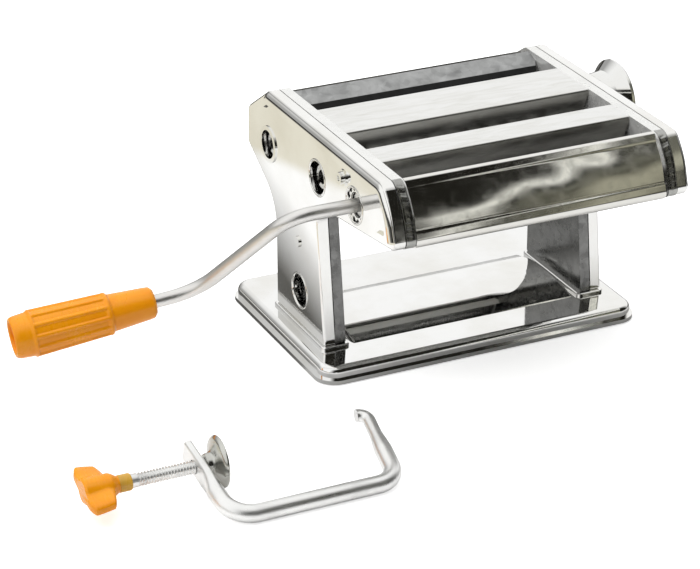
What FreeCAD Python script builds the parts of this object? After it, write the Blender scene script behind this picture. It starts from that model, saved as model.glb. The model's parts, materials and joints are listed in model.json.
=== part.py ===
"""Hand cranked pasta machine with three feed slots, its crank and its table clamp.

Millimetres. +X runs along the rollers towards the gap knob, +Y to the rear and
+Z up. The origin is the centre of the underside of the base.
"""
import FreeCAD, Part
import math
import os

V = FreeCAD.Vector
os.makedirs("parts", exist_ok=True)

# Base: a stamped tray with a stepped rim, a floor sheet and a rubber mat
base_side_margin = 13.0
base_half_depth = 71.0
base_height = 10.5
base_corner_radius = 13.0
base_rim_step = 2.0
base_rim_step_height = 3.0
base_edge_radius = 4.0
base_sheet = 1.0
base_table_gap = 0.5
mat_thickness = 3.0
mat_inset = 0.5
floor_sheet = 1.0

# Foot pads under both legs and the crowned field between them, pressed into the base
foot_rise = 2.0
foot_margin = 1.7
foot_inner_margin = 2.5
foot_edge_radius = 1.0
foot_corner_radius = 3.0
field_side_gap = 1.5
field_front_y = -42.5
field_rear_y = 25.0
field_edge_rise = 0.4
field_rise = 5.0
field_slope = 14.0
field_crown_radius = 100.0
field_end_radius = 3.0

# Heights in the head and the legs are given as depths below the head's top
head_top = 147.0

# Side outline as (y, depth), shared by the inner plates and the side covers
head_front_top_y = -120.5
head_front_mid = (-131.0, 13.0)
head_front_bottom = (-138.0, 34.3)
leg_front_top = (-33.0, 47.3)
leg_front_foot_y = -44.0
leg_rear_y = 25.0
leg_rear_top_depth = 68.4
head_rear_bottom = (66.0, 44.0)
head_rear_top = (65.5, 20.0)
head_chamfer_y = 35.0
front_top_radius = 8.0
front_mid_radius = 40.0
front_bottom_radius = 5.0
leg_flare_radius = 12.0
leg_sweep_radius = 31.0
rear_bottom_radius = 3.0
rear_top_radius = 6.0
chamfer_radius = 6.0
foot_radius = 1.5

# Inner plates and side covers across the machine
roller_end_room = 4.5
plate_sheet = 1.2
plate_flange = 6.4
seam_gap = 0.6
cover_sheet = 1.0
cover_inner_gap = 0.5
bead_width = 9.5
bead_stand_off = 2.0
bead_radius = 5.0
bead_slope_width = 4.1
bead_slope_depth = 1.9
bead_rear_y = 37.0
bead_front_y = -118.0
bead_low_gap = 4.0
bead_leg_gap = 6.0
cover_edge_radius = 1.5

# Sheet rollers: a driven one, and one whose gap to it can be set
drive_roller_place = (34.5, 34.0)
roller_radius = 13.3
roller_gap_open = 2.3
gap_travel = 2.0
roller_half_length = 75.5
roller_end_chamfer = 0.8
roller_line_tilt = 6.8

# Cutters: pairs of ridged rollers whose ridges interlock
cutter_ridge_radius = 11.5
cutter_overlap = 1.5
cutter_groove_clearance = 0.4
cutter_side_clearance = 0.2
cutter_end_room = 4.0
wide_place = (-35.0, 29.0)
wide_pair_tilt = 9.0
wide_pitch = 13.0
narrow_place = (-85.0, 26.5)
narrow_pair_tilt = 13.5
narrow_pitch = 4.0

# Shafts, bushes and the crank sockets
shaft_radius = 5.5
gear_seat_radius = 4.5
gear_seat_overhang = 0.4
socket_radius = 7.0
socket_bore_radius = 4.2
socket_depth = 14.0
socket_slot_width = 2.8
socket_slot_depth = 5.0
socket_recess = 3.0
running_clearance = 0.05
bush_wall = 2.4
bush_flange = 1.3
bush_flange_thickness = 1.2
bush_outer_length = 2.0
shaft_end_play = 0.4
shoulder_radius = 7.2
socket_shoulder_radius = 8.6
plain_shaft_reach = 4.4

# Bush rings in the cover's three crank holes
drive_hole_radius = 10.0
drive_hole_lip = 2.4
drive_hole_lip_wall = 0.9
ring_wall = 1.2
ring_flange_radius = 11.4
ring_flange_thickness = 0.8

# Gears, between the right inner plate and the right cover
gear_plate_gap = 4.2
gear_width = 4.6
gear_pressure_angle = 25.0
gear_backlash = 0.25
gear_root_clearance = 0.3
roller_gear_teeth = 12
cutter_gear_teeth = 16

# Carriage of the adjustable roller, and the spiral cam that moves it
block_room = 0.7
block_half_length = 9.0
block_half_height = 9.0
block_plate_gap = 0.2
tongue_half_length = 7.6
tongue_half_height = 7.0
tongue_reach = 1.6
slot_clearance = 0.2
cross_bar_width = 12.0
cross_bar_height = 3.0
cross_bar_gap = 2.2
follower_radius = 2.4
follower_clearance = 0.25
follower_end_gap = 0.3
cam_start = 4.8
cam_turn = 180.0
cam_end_margin = 5.0
cam_radius = 11.0
cam_thickness = 2.0
cam_gap = 0.5
cam_collar_radius = 5.2

# Gap knob on the right side; its lengths run outwards from the cover
dial_stem_radius = 4.0
dial_stem_reach = 27.0
dial_bush_wall = 1.8
dial_bush_reach = 1.2
dial_flat_half_width = 3.1
dial_relief = 0.4
dial_relief_depth = 2.0
knob_clearance = 0.8
knob_neck_radius = 11.0
knob_waist_radius = 12.0
knob_body_radius = 18.0
knob_body_flare = 1.0
knob_rim_radius = 25.0
knob_neck_length = 10.0
knob_body_start = 15.0
knob_body_end = 24.0
knob_rim_start = 30.0
knob_length = 32.5
knob_edge_radius = 1.0
knob_bore_clearance = 0.08
knob_dish_radius = 21.5
knob_dish_depth = 3.0
knob_counterbore_radius = 7.4
knob_web = 13.0
knob_pin_radius = 1.2
knob_pin_circle = 9.0
knob_pin_seat = 3.0
knob_pin_reach = 0.7
knob_slot_clearance = 0.35
knob_pull = 5.0
retainer_radius = 6.6
retainer_thickness = 1.8
knob_spring_radius = 5.6
knob_spring_wire = 0.5
knob_spring_coils = 4
knob_spring_end_gap = 0.3

# Feed guides and covers between the inner plates
guide_sheet = 1.0
slot_two_rear_y = -44.0
slot_two_front_y = -71.0
slot_three_rear_y = -91.5
slot_three_front_y = -117.0
middle_drop = 14.0
front_drop = 13.0
drop_taper = 4.0
drop_taper_start = 3.0
rear_guide_top = (30.0, 1.0)
rear_guide_low = (11.0, 8.0)
rear_guide_end = (15.0, 15.5)
rear_guide_taper = 5.0
rear_guide_taper_start = 4.0
middle_guide_start = (7.5, 13.5)
middle_guide_knee = (2.5, 6.0)
middle_guide_top_y = -5.0
middle_guide_radius = 3.0
slope_two_end = (-53.0, 9.5)
slope_three_end = (-103.0, 6.5)
guide_bend_radius = 1.6
cover_inset = 0.8
front_rim_radius = 1.4
front_lip = (-129.0, 37.0)
rear_cover_top_depth = 4.5
rear_cover_lip_depth = 52.0

# Tie rods, spacers, screws and rivets, each rod at a (y, depth)
tie_rod_radius = 3.5
visible_rod = (-70.5, 15.0)
rear_rod = (54.0, 42.0)
front_rod = (-124.0, 26.0)
tie_screw_radius = 2.2
tie_screw_depth = 9.0
tie_screw_head = 4.4
tie_screw_head_height = 2.8
rivet_place = (-7.0, 81.0)
spacer_radius = 4.2
screw_flange_radius = 5.0
screw_flange_thickness = 0.9
screw_dome_radius = 3.6
screw_dome_height = 2.2
screw_socket_radius = 1.6
screw_socket_depth = 1.2
rivet_head_radius = 3.4
rivet_head_height = 1.0
rivet_shank_radius = 2.0
foot_screw_y = (-30.0, 12.0)
foot_screw_radius = 1.4
foot_screw_head_radius = 2.3
foot_screw_head_height = 1.6
foot_nut_across = 5.0
foot_nut_height = 2.0

# Hole low in the left leg for the clamp's hook, as (y, z)
clamp_hole = (-9.0, 34.6)
clamp_hole_radius = 10.5
clamp_hole_lip = 5.0

# Scrapers under the sheet rollers and combs under the cutters
scraper_sheet = 0.8
scraper_gap = 0.35
scraper_tip_angle = 60.0
scraper_flat = 7.0
scraper_bend_radius = 1.5
comb_bar_depth = 3.0
comb_bar_width = 4.0
comb_gap = 0.6
comb_tooth_width = 2.6
comb_tooth_root = 2.5
comb_side_gap = 0.35
comb_angle = 35.0

# Crank with its spinning grip; the stem under the grip splays a little outwards
crank_rod_radius = 4.1
crank_insert = 12.0
crank_corner_gap = 40.1
crank_reach = 84.4
crank_arm_tilt = 21.8
crank_angle = -47.8
crank_bend_radius = 21.0
crank_end_bend_radius = 30.0
crank_stem_splay = 9.2
crank_pin_radius = 1.1
crank_pin_half_length = 6.4
crank_pin_gap = 2.6
grip_start = 26.0
grip_stem_length = 76.0
grip_plug_gap = 4.5
grip_plug_length = 4.0
grip_length = grip_stem_length + grip_plug_gap + grip_plug_length
grip_face_radius = 7.8
grip_shoulder = 1.5
grip_shoulder_radius = 9.3
grip_neck = 5.0
grip_neck_radius = 9.6
grip_rib_start = 26.2
grip_rib_start_radius = 11.1
grip_rib_step = 1.6
grip_rib_end_radius = 14.1
grip_cap_length = 12.0
grip_cap_radius = 13.0
grip_cap_end_radius = 12.4
grip_end_bevel = 2.5
grip_end_radius = 11.2
grip_flute_count = 12
grip_flute_radius = 2.6
grip_flute_depth = 0.8
grip_flute_margin = 2.5
grip_bore_clearance = 0.08
grip_collar_radius = 6.0
grip_collar_thickness = 2.0
grip_collar_gap = 0.3
grip_pocket_clearance = 0.5
grip_rib_end = grip_length - grip_cap_length
grip_cap_end = grip_length - grip_end_bevel

# Table clamp, lying in front of the machine and tilted up from its spine
clamp_side_gap = 122.0
clamp_front_gap = 122.2
clamp_tilt = 14.1
clamp_rod_radius = 5.1
clamp_spine_length = 97.0
clamp_corner_radius = 15.8
clamp_arm_lean = 3.5
clamp_arm_length = 58.0
clamp_arm_thickness = 5.0
clamp_arm_width = 14.0
clamp_flat_start = 34.0
clamp_neck_length = 12.0
clamp_arm_squareness = 4.5
clamp_hook_lean = 6.5
clamp_hook_length = 55.0
clamp_hook_radius = 3.7
clamp_hook_corner_radius = 13.0
clamp_hook_taper_start = 25.0
clamp_hook_taper_end = 38.0
clamp_hook_bend = 5.5
clamp_hook_tip = 0.6
clamp_screw_offset = 44.1
clamp_screw_radius = 4.0
clamp_screw_clearance = 0.08
thread_pitch = 1.25
thread_depth = 0.6
thread_start = 4.0
screw_pad_gap = 1.4
screw_free_length = 36.6
pad_radius = 15.0
pad_dish = 4.5
pad_sheet = 1.3
pad_hub_radius = 6.0
pad_hub_flare = 0.4
pad_hub_length = 4.8
pad_neck_radius = 3.0
pad_end_play = 0.3
pad_rivet_radius = 4.6
pad_rivet_height = 1.2
wing_collar_radius = 4.9
wing_collar_length = 7.0
wing_collar_edge = 0.6
wing_hub_radius = 7.4
wing_hub_cone = 6.0
wing_hub_edge = 1.5
wing_knob_length = 27.6
wing_length = 17.0
wing_half_span = 18.2
wing_thickness = 7.8
wing_edge_radius = 3.2
wing_end_radius = 1.0
wing_tilt = 9.0
wing_seat_depth = 10.0

# Longer than anything that is cut
far = 300.0


def yz(x, point):
    """A point of the side outline at the given x."""
    return V(x, point[0], point[1])


def unit(dy, dz):
    """Unit vector in the YZ plane as two numbers."""
    size = math.hypot(dy, dz)
    return dy / size, dz / size


def offset_points(points, distance, closed):
    """Moves every side of a polyline by distance to its left."""
    count = len(points)
    sides = []
    for i in range(count if closed else count - 1):
        a = points[i]
        b = points[(i + 1) % count]
        uy, uz = unit(b[0] - a[0], b[1] - a[1])
        start = (a[0] - uz * distance, a[1] + uy * distance)
        sides.append((start, (uy, uz)))
    moved = []
    for i in range(count):
        if not closed and i == 0:
            moved.append(sides[0][0])
            continue
        if not closed and i == count - 1:
            start, along = sides[-1]
            a = points[-2]
            b = points[-1]
            size = math.hypot(b[0] - a[0], b[1] - a[1])
            moved.append((start[0] + along[0] * size, start[1] + along[1] * size))
            continue
        p, u = sides[i - 1]
        q, w = sides[i % len(sides)]
        cross = u[0] * w[1] - u[1] * w[0]
        step = ((q[0] - p[0]) * w[1] - (q[1] - p[1]) * w[0]) / cross
        moved.append((p[0] + u[0] * step, p[1] + u[1] * step))
    return moved


def turn_sign(a, b, c):
    """Positive where the path a, b, c turns left."""
    return (b[0] - a[0]) * (c[1] - b[1]) - (b[1] - a[1]) * (c[0] - b[0])


def corner_arc(a, b, c, radius):
    """Start, middle and end of the arc that rounds the corner at b."""
    uy, uz = unit(a[0] - b[0], a[1] - b[1])
    wy, wz = unit(c[0] - b[0], c[1] - b[1])
    half = math.acos(max(-1.0, min(1.0, uy * wy + uz * wz))) / 2
    reach = radius / math.tan(half)
    my, mz = unit(uy + wy, uz + wz)
    depth = radius / math.sin(half) - radius
    start = (b[0] + uy * reach, b[1] + uz * reach)
    middle = (b[0] + my * depth, b[1] + mz * depth)
    end = (b[0] + wy * reach, b[1] + wz * reach)
    return start, middle, end


def rounded_edges(points, radii, closed, x=0.0):
    """Lines and tangent arcs along a polyline in the YZ plane."""
    count = len(points)
    pieces = []
    for i, point in enumerate(points):
        ends = not closed and i in (0, count - 1)
        if ends or radii[i] <= 0.0:
            pieces.append((point, None, point))
            continue
        before = points[i - 1]
        after = points[(i + 1) % count]
        pieces.append(corner_arc(before, point, after, radii[i]))
    edges = []
    for i, (start, middle, end) in enumerate(pieces):
        if middle is not None:
            arc = Part.Arc(yz(x, start), yz(x, middle), yz(x, end))
            edges.append(arc.toShape())
        if i < count - 1 or closed:
            goal = pieces[(i + 1) % count][0]
            if math.hypot(goal[0] - end[0], goal[1] - end[1]) > 1e-6:
                edges.append(Part.makeLine(yz(x, end), yz(x, goal)))
    return edges


def outline_solid(points, radii, x0, x1):
    """A closed YZ outline extruded from x0 to x1."""
    wire = Part.Wire(Part.__sortEdges__(rounded_edges(points, radii, True, x0)))
    return Part.Face(wire).extrude(V(x1 - x0, 0, 0))


def bent_sheet(points, radii, thickness, x0, x1):
    """A sheet bent along an open YZ path; its thickness lies on the path's left."""
    inner = offset_points(points, thickness, False)
    inner_radii = []
    for i, radius in enumerate(radii):
        if radius <= 0.0 or i in (0, len(radii) - 1):
            inner_radii.append(0.0)
            continue
        left = turn_sign(points[i - 1], points[i], points[i + 1]) > 0
        inner_radii.append(max(radius - thickness if left else radius + thickness, 0.05))
    edges = rounded_edges(points, radii, False, x0)
    edges += rounded_edges(inner, inner_radii, False, x0)
    edges.append(Part.makeLine(yz(x0, points[0]), yz(x0, inner[0])))
    edges.append(Part.makeLine(yz(x0, points[-1]), yz(x0, inner[-1])))
    wire = Part.Wire(Part.__sortEdges__(edges))
    return Part.Face(wire).extrude(V(x1 - x0, 0, 0))


def rod(radius, x0, x1, place):
    """A round bar along X at a place in the YZ plane."""
    low = min(x0, x1)
    return Part.makeCylinder(radius, abs(x1 - x0), V(low, place[0], place[1]), V(1, 0, 0))


def tube(outer, inner, x0, x1, place):
    """A round tube along X."""
    low = min(x0, x1)
    high = max(x0, x1)
    return rod(outer, low, high, place).cut(rod(inner, low - 1, high + 1, place))


def box(x0, x1, y0, y1, z0, z1):
    """A box between two corners."""
    return Part.makeBox(x1 - x0, y1 - y0, z1 - z0, V(x0, y0, z0))


def revolve_x(points, place):
    """Turns an outline of (x, radius) points about an axis along X."""
    corners = [V(x, place[0] + radius, place[1]) for x, radius in points]
    corners.append(corners[0])
    face = Part.Face(Part.makePolygon(corners))
    axis_point = V(0, place[0], place[1])
    return face.revolve(axis_point, V(1, 0, 0), 360)


def turned(shape, place, degrees):
    """A copy turned about an X axis through a place in the YZ plane."""
    copy = shape.copy()
    copy.rotate(V(0, place[0], place[1]), V(1, 0, 0), degrees)
    return copy


def moved(shape, dx=0.0, dy=0.0, dz=0.0):
    """A copy moved by the given steps."""
    copy = shape.copy()
    copy.translate(V(dx, dy, dz))
    return copy


def mirrored(shape):
    """A copy on the other side of the YZ plane."""
    return shape.mirror(V(0, 0, 0), V(1, 0, 0))


def save(node, shape):
    """Writes one sub-part."""
    shape = shape.removeSplitter() if len(shape.Solids) == 1 else shape
    shape.exportStep("parts/" + node + ".step")
    print(node, len(shape.Solids), round(shape.Volume, 1), shape.isValid())


def group(shapes):
    """Several separate solids as one sub-part."""
    return Part.makeCompound(shapes)


def below_top(place):
    """Point of the YZ plane from its y and its depth below the head's top."""
    return place[0], head_top - place[1]


foot_z = base_height + foot_rise
side_points = [
    (head_front_top_y, head_top),
    below_top(head_front_mid),
    below_top(head_front_bottom),
    below_top(leg_front_top),
    (leg_front_foot_y, foot_z),
    (leg_rear_y, foot_z),
    below_top((leg_rear_y, leg_rear_top_depth)),
    below_top(head_rear_bottom),
    below_top(head_rear_top),
    (head_chamfer_y, head_top),
]
side_radii = [
    front_top_radius,
    front_mid_radius,
    front_bottom_radius,
    leg_flare_radius,
    foot_radius,
    foot_radius,
    leg_sweep_radius,
    rear_bottom_radius,
    rear_top_radius,
    chamfer_radius,
]

# Places across the machine, from the rollers outwards
plate_inner_x = roller_half_length + roller_end_room
plate_outer_x = plate_inner_x + plate_sheet
plate_flange_x = plate_inner_x + plate_flange
cover_seam_x = plate_flange_x + seam_gap
gear_inner_x = plate_outer_x + gear_plate_gap
gear_outer_x = gear_inner_x + gear_width
cam_inner_x = gear_outer_x + cam_gap
cam_outer_x = cam_inner_x + cam_thickness
cover_inner_x = cam_outer_x + cover_inner_gap
cover_outer_x = cover_inner_x + cover_sheet
base_half_length = cover_outer_x + base_side_margin
cutter_half_length = plate_inner_x - cutter_end_room
block_outer_x = plate_inner_x - block_plate_gap
block_inner_x = roller_half_length + block_room
socket_end_x = cover_outer_x - socket_recess
plain_shaft_end_x = plate_inner_x + plain_shaft_reach
crank_pin_x = socket_end_x - crank_pin_gap
crank_corner_x = cover_outer_x + crank_corner_gap
knob_inner_x = cover_outer_x + knob_clearance
knob_face_x = cover_outer_x + knob_length - knob_dish_depth
knob_web_x = cover_outer_x + knob_web
stem_end_x = cover_outer_x + dial_stem_reach
clamp_corner = (-cover_outer_x - clamp_side_gap, -base_half_depth - clamp_front_gap)

drive_roller_axis = below_top(drive_roller_place)
wide_axis = below_top(wide_place)
narrow_axis = below_top(narrow_place)
screw_place = below_top(visible_rod)
hidden_rods = [below_top(rear_rod), below_top(front_rod)]
leg_rivet = below_top(rivet_place)

# The knob's axis, the open and the closed roller lie on one line to the driven roller
line_angle = math.radians(roller_line_tilt)
line_forward = (-math.cos(line_angle), math.sin(line_angle))
closed_distance = 2 * roller_radius + roller_gap_open - gap_travel
open_distance = 2 * roller_radius + roller_gap_open


def along_line(distance):
    """Point at a distance from the driven roller's axis towards the front."""
    y = drive_roller_axis[0] + line_forward[0] * distance
    z = drive_roller_axis[1] + line_forward[1] * distance
    return y, z


adjust_roller_axis = along_line(open_distance)
knob_axis = along_line(open_distance + cam_start)

cutter_spacing = 2 * cutter_ridge_radius - cutter_overlap
cutter_groove_radius = cutter_spacing - cutter_ridge_radius - cutter_groove_clearance


def partner_axis(axis, tilt):
    """Axis of the front cutter of a pair, raised by the pair's tilt."""
    angle = math.radians(tilt)
    return axis[0] - cutter_spacing * math.cos(angle), axis[1] + cutter_spacing * math.sin(angle)


wide_partner_axis = partner_axis(wide_axis, wide_pair_tilt)
narrow_partner_axis = partner_axis(narrow_axis, narrow_pair_tilt)
socket_axes = [drive_roller_axis, wide_axis, narrow_axis]
plain_axes = [wide_partner_axis, narrow_partner_axis]


def inset_outline(distance):
    """The side outline moved inwards, with its corner radii."""
    points = offset_points(side_points, distance, True)
    radii = []
    count = len(side_points)
    for i, radius in enumerate(side_radii):
        left = turn_sign(side_points[i - 1], side_points[i], side_points[(i + 1) % count]) > 0
        radii.append(max(radius - distance if left else radius + distance, 0.1))
    return points, radii


def side_form(inset, x0, x1):
    """The side outline as a solid between two x places."""
    points, radii = inset_outline(inset)
    return outline_solid(points, radii, x0, x1)


def base_layer(inset, z0, z1, corner):
    """A rounded slab of the base, inset from its outer size."""
    a = base_half_length - inset
    b = base_half_depth - inset
    slab = box(-a, a, -b, b, z0, z1)
    uprights = [e for e in slab.Edges if abs(e.BoundBox.ZLength - (z1 - z0)) < 1e-6]
    return slab.makeFillet(corner, uprights)


def top_edges(shape, z):
    """Edges that lie in the plane at height z."""
    return [e for e in shape.Edges if e.BoundBox.ZMin > z - 1e-4 and e.BoundBox.ZMax < z + 1e-4]


def foot_pad(inset):
    """Low raised pad under the right leg."""
    z1 = foot_z - inset
    x0 = plate_inner_x - foot_inner_margin + inset
    x1 = cover_outer_x + foot_margin - inset
    y0 = leg_front_foot_y - foot_margin + inset
    y1 = leg_rear_y + foot_margin - inset
    pad = box(x0, x1, y0, y1, base_table_gap, z1)
    uprights = [e for e in pad.Edges if e.BoundBox.ZLength > foot_rise]
    pad = pad.makeFillet(foot_corner_radius - inset, uprights)
    return pad.makeFillet(foot_edge_radius - inset / 2, top_edges(pad, z1))


def crowned_field(inset):
    """Raised field between the legs, which slopes down to its front and rear edge."""
    low = base_height + field_edge_rise - inset
    top = base_height + field_rise - inset
    run = (field_rise - field_edge_rise) / math.tan(math.radians(field_slope))
    front = field_front_y + inset
    rear = field_rear_y - inset
    points = [(front, base_table_gap), (front, low), (front + run, top)]
    points += [(rear - run, top), (rear, low), (rear, base_table_gap)]
    radii = [0.0, 0.0, field_crown_radius, field_crown_radius, 0.0, 0.0]
    half = plate_inner_x - foot_inner_margin - field_side_gap - inset
    field = outline_solid(points, radii, -half, half)
    ends = [e for e in field.Edges if e.BoundBox.XLength < 0.01 and e.BoundBox.ZMin > low - 0.01]
    return field.makeFillet(field_end_radius - inset, ends)


def base_form(inset):
    """The base's outer form at inset 0, or its hollow at one sheet's inset."""
    low = base_layer(inset, base_table_gap, base_rim_step_height - inset, base_corner_radius - inset)
    top = base_height - inset
    step = inset + base_rim_step
    high = base_layer(step, base_table_gap, top, base_corner_radius - step)
    high = high.makeFillet(base_edge_radius - inset, top_edges(high, top))
    pad = foot_pad(inset)
    return low.fuse(high).fuse(crowned_field(inset)).fuse(pad).fuse(mirrored(pad))


def foot_places():
    """Places of the screws that hold both feet down, as (x, y)."""
    middle = (plate_outer_x + plate_flange_x) / 2
    return [(side * middle, y) for side in (-1, 1) for y in foot_screw_y]


def base_plate():
    """Stamped tray with a stepped rim and the raised platform under the feet."""
    shape = base_form(0.0).cut(base_form(base_sheet))
    shape = shape.cut(box(-far, far, -far, far, -far, base_table_gap + 0.01))
    for x, y in foot_places():
        shape = shape.cut(Part.makeCylinder(foot_screw_radius, foot_z, V(x, y, base_sheet)))
    return shape


def base_floor():
    """Sheet pressed into the tray, which closes it and carries the mat."""
    inset = base_sheet + base_rim_step
    return base_layer(inset, mat_thickness, mat_thickness + floor_sheet, base_corner_radius - inset)


def rubber_mat():
    """Rubber sheet that the machine stands on."""
    inset = base_sheet + base_rim_step + mat_inset
    return base_layer(inset, 0.0, mat_thickness, base_corner_radius - inset)


def foot_screws():
    """Screws with nuts that hold the inner plates' feet on the platform."""
    solids = []
    head_z = foot_z + plate_sheet
    nut_z = foot_z - base_sheet - foot_nut_height
    for x, y in foot_places():
        shank = Part.makeCylinder(foot_screw_radius, head_z - nut_z, V(x, y, nut_z))
        head = Part.makeCylinder(foot_screw_head_radius, foot_screw_head_height, V(x, y, head_z))
        nut = hexagon_upright(foot_nut_across, nut_z, nut_z + foot_nut_height, x, y)
        solids.append(shank.fuse(head).fuse(nut))
    return group(solids)


def hexagon_upright(across, z0, z1, x, y):
    """A hexagonal prism standing upright."""
    radius = across / math.sqrt(3.0)
    corners = []
    for i in range(7):
        angle = math.radians(60.0 * i)
        corners.append(V(x + radius * math.cos(angle), y + radius * math.sin(angle), z0))
    return Part.Face(Part.makePolygon(corners)).extrude(V(0, 0, z1 - z0))


def carriage_frame(shape):
    """Moves a shape from the line's own frame to the open roller's place."""
    copy = shape.copy()
    copy.rotate(V(0, 0, 0), V(1, 0, 0), -roller_line_tilt)
    copy.translate(V(0, adjust_roller_axis[0], adjust_roller_axis[1]))
    return copy


def tongue_slot():
    """Slot in the right inner plate along which the carriage's tongue slides."""
    slot = box(
        plate_inner_x - 1,
        plate_outer_x + 1,
        -tongue_half_length - slot_clearance,
        tongue_half_length + gap_travel + slot_clearance,
        -tongue_half_height - slot_clearance,
        tongue_half_height + slot_clearance,
    )
    return carriage_frame(slot)


def inner_plate(side):
    """Inner plate of a side: a flanged sheet with the holes for bushes and rods."""
    skin = side_form(0.0, plate_inner_x, plate_flange_x)
    plate = skin.cut(side_form(plate_sheet, plate_outer_x, plate_flange_x + 1))
    x0 = plate_inner_x - 1
    x1 = plate_outer_x + 1
    for axis in socket_axes:
        journal = socket_radius if side < 0 else shaft_radius
        plate = plate.cut(rod(journal + running_clearance + bush_wall, x0, x1, axis))
    for axis in plain_axes:
        plate = plate.cut(rod(shaft_radius + running_clearance + bush_wall, x0, x1, axis))
    plate = plate.cut(tongue_slot())
    for place in [screw_place] + hidden_rods:
        plate = plate.cut(rod(tie_screw_radius, x0, x1, place))
    plate = plate.cut(rod(rivet_shank_radius, x0, x1, leg_rivet))
    for x, y in foot_places():
        if x > 0:
            plate = plate.cut(Part.makeCylinder(foot_screw_radius, plate_sheet + 2, V(x, y, foot_z - 1)))
    if side > 0:
        return plate
    plate = plate.cut(rod(clamp_hole_radius, x0, x1, clamp_hole))
    return mirrored(plate)


def bead_form(inset):
    """Band along the top and the front of a cover that stands off outwards."""
    x_end = cover_outer_x + bead_stand_off - inset
    start = cover_seam_x - (1.0 if inset else 0.0)
    band = side_form(inset, start, x_end)
    rim = [e for e in band.Edges if e.BoundBox.XMin > x_end - 1e-4]
    band = band.makeFillet(bead_radius - inset, rim)
    core = side_form(bead_width - inset, start - 1, x_end + 1)
    band = band.cut(core)
    shoulder = [e for e in band.Edges if e.BoundBox.XMin > x_end - 1e-4 and e.distToShape(core)[0] < 1e-4]
    band = band.makeChamfer(bead_slope_depth, bead_slope_width, shoulder)
    low = head_top - head_front_bottom[1] + bead_low_gap + inset
    window = box(start - 1, x_end + 1, -far, bead_rear_y - inset, low, far)
    leg_top = head_top - bead_width - bead_leg_gap
    leg_part = box(start - 1, x_end + 1, bead_front_y, far, -far, leg_top)
    return band.common(window).cut(leg_part)


def cover_skin():
    """Hollow side cover with its bead, as on the right side."""
    outer = side_form(0.0, cover_seam_x, cover_outer_x)
    rim = [e for e in outer.Edges if e.BoundBox.XMin > cover_outer_x - 1e-4]
    outer = outer.makeFillet(cover_edge_radius, rim)
    inner = side_form(cover_sheet, cover_seam_x - 1, cover_inner_x)
    outer = outer.fuse(bead_form(0.0))
    inner = inner.fuse(bead_form(cover_sheet))
    return outer.cut(inner)


def right_side_cover():
    """Side cover with the hole for the dial's bush and the slot for the knob's pin."""
    cover = cover_skin()
    x0 = cover_inner_x - 2
    x1 = cover_outer_x + 4
    cover = cover.cut(rod(dial_stem_radius + running_clearance + dial_bush_wall, x0, x1, knob_axis))
    cover = cover.cut(pin_slot(x0, x1))
    cover = cover.cut(rod(tie_screw_radius, x0, x1, screw_place))
    return cover.cut(rod(rivet_shank_radius, x0, x1, leg_rivet))


def left_side_cover():
    """Side cover with three lipped crank holes and the clamp hole low in the leg."""
    cover = cover_skin()
    lip_x = cover_outer_x - drive_hole_lip
    wall = drive_hole_lip_wall
    for axis in socket_axes:
        cover = cover.fuse(rod(drive_hole_radius + wall, lip_x, cover_outer_x, axis))
        cover = cover.cut(rod(drive_hole_radius, lip_x - 1, cover_outer_x + 4, axis))
    deep_x = cover_outer_x - clamp_hole_lip
    cover = cover.fuse(rod(clamp_hole_radius + cover_sheet, deep_x, cover_outer_x, clamp_hole))
    cover = cover.cut(rod(clamp_hole_radius, deep_x - 1, cover_outer_x + 4, clamp_hole))
    cover = cover.cut(rod(tie_screw_radius, deep_x, cover_outer_x + 4, screw_place))
    cover = cover.cut(rod(rivet_shank_radius, deep_x, cover_outer_x + 4, leg_rivet))
    return mirrored(cover)


def socket_ring():
    """Flanged ring pressed into the rear crank hole."""
    x_out = cover_outer_x + ring_flange_thickness
    ring = rod(drive_hole_radius, cover_outer_x - drive_hole_lip, cover_outer_x, drive_roller_axis)
    ring = ring.fuse(rod(ring_flange_radius, cover_outer_x, x_out, drive_roller_axis))
    lip_x = cover_outer_x - drive_hole_lip
    bore = rod(drive_hole_radius - ring_wall, lip_x - 1, x_out + 1, drive_roller_axis)
    return mirrored(ring.cut(bore))


def bush(journal_radius, axis):
    """Flanged bush pressed into the right inner plate from inside."""
    inner = journal_radius + running_clearance
    outer = inner + bush_wall
    flange_x = plate_inner_x - bush_flange_thickness
    shape = rod(outer, plate_inner_x, plate_outer_x + bush_outer_length, axis)
    shape = shape.fuse(rod(outer + bush_flange, flange_x, plate_inner_x, axis))
    return shape.cut(rod(inner, flange_x - 1, plate_outer_x + bush_outer_length + 1, axis))


def right_bushes():
    """Bushes of the five fixed shafts in the right inner plate."""
    return group([bush(shaft_radius, axis) for axis in socket_axes + plain_axes])


def left_bushes():
    """Bushes in the left inner plate, wider where a shaft ends in a crank socket."""
    solids = [mirrored(bush(socket_radius, axis)) for axis in socket_axes]
    solids += [mirrored(bush(shaft_radius, axis)) for axis in plain_axes]
    return group(solids)


def chamfered_rod(radius, x0, x1, axis, chamfer):
    """Round bar along X with both ends chamfered."""
    outline = [(x0, 0.0), (x0, radius - chamfer), (x0 + chamfer, radius)]
    outline += [(x1 - chamfer, radius), (x1, radius - chamfer), (x1, 0.0)]
    return revolve_x(outline, axis)


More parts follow.
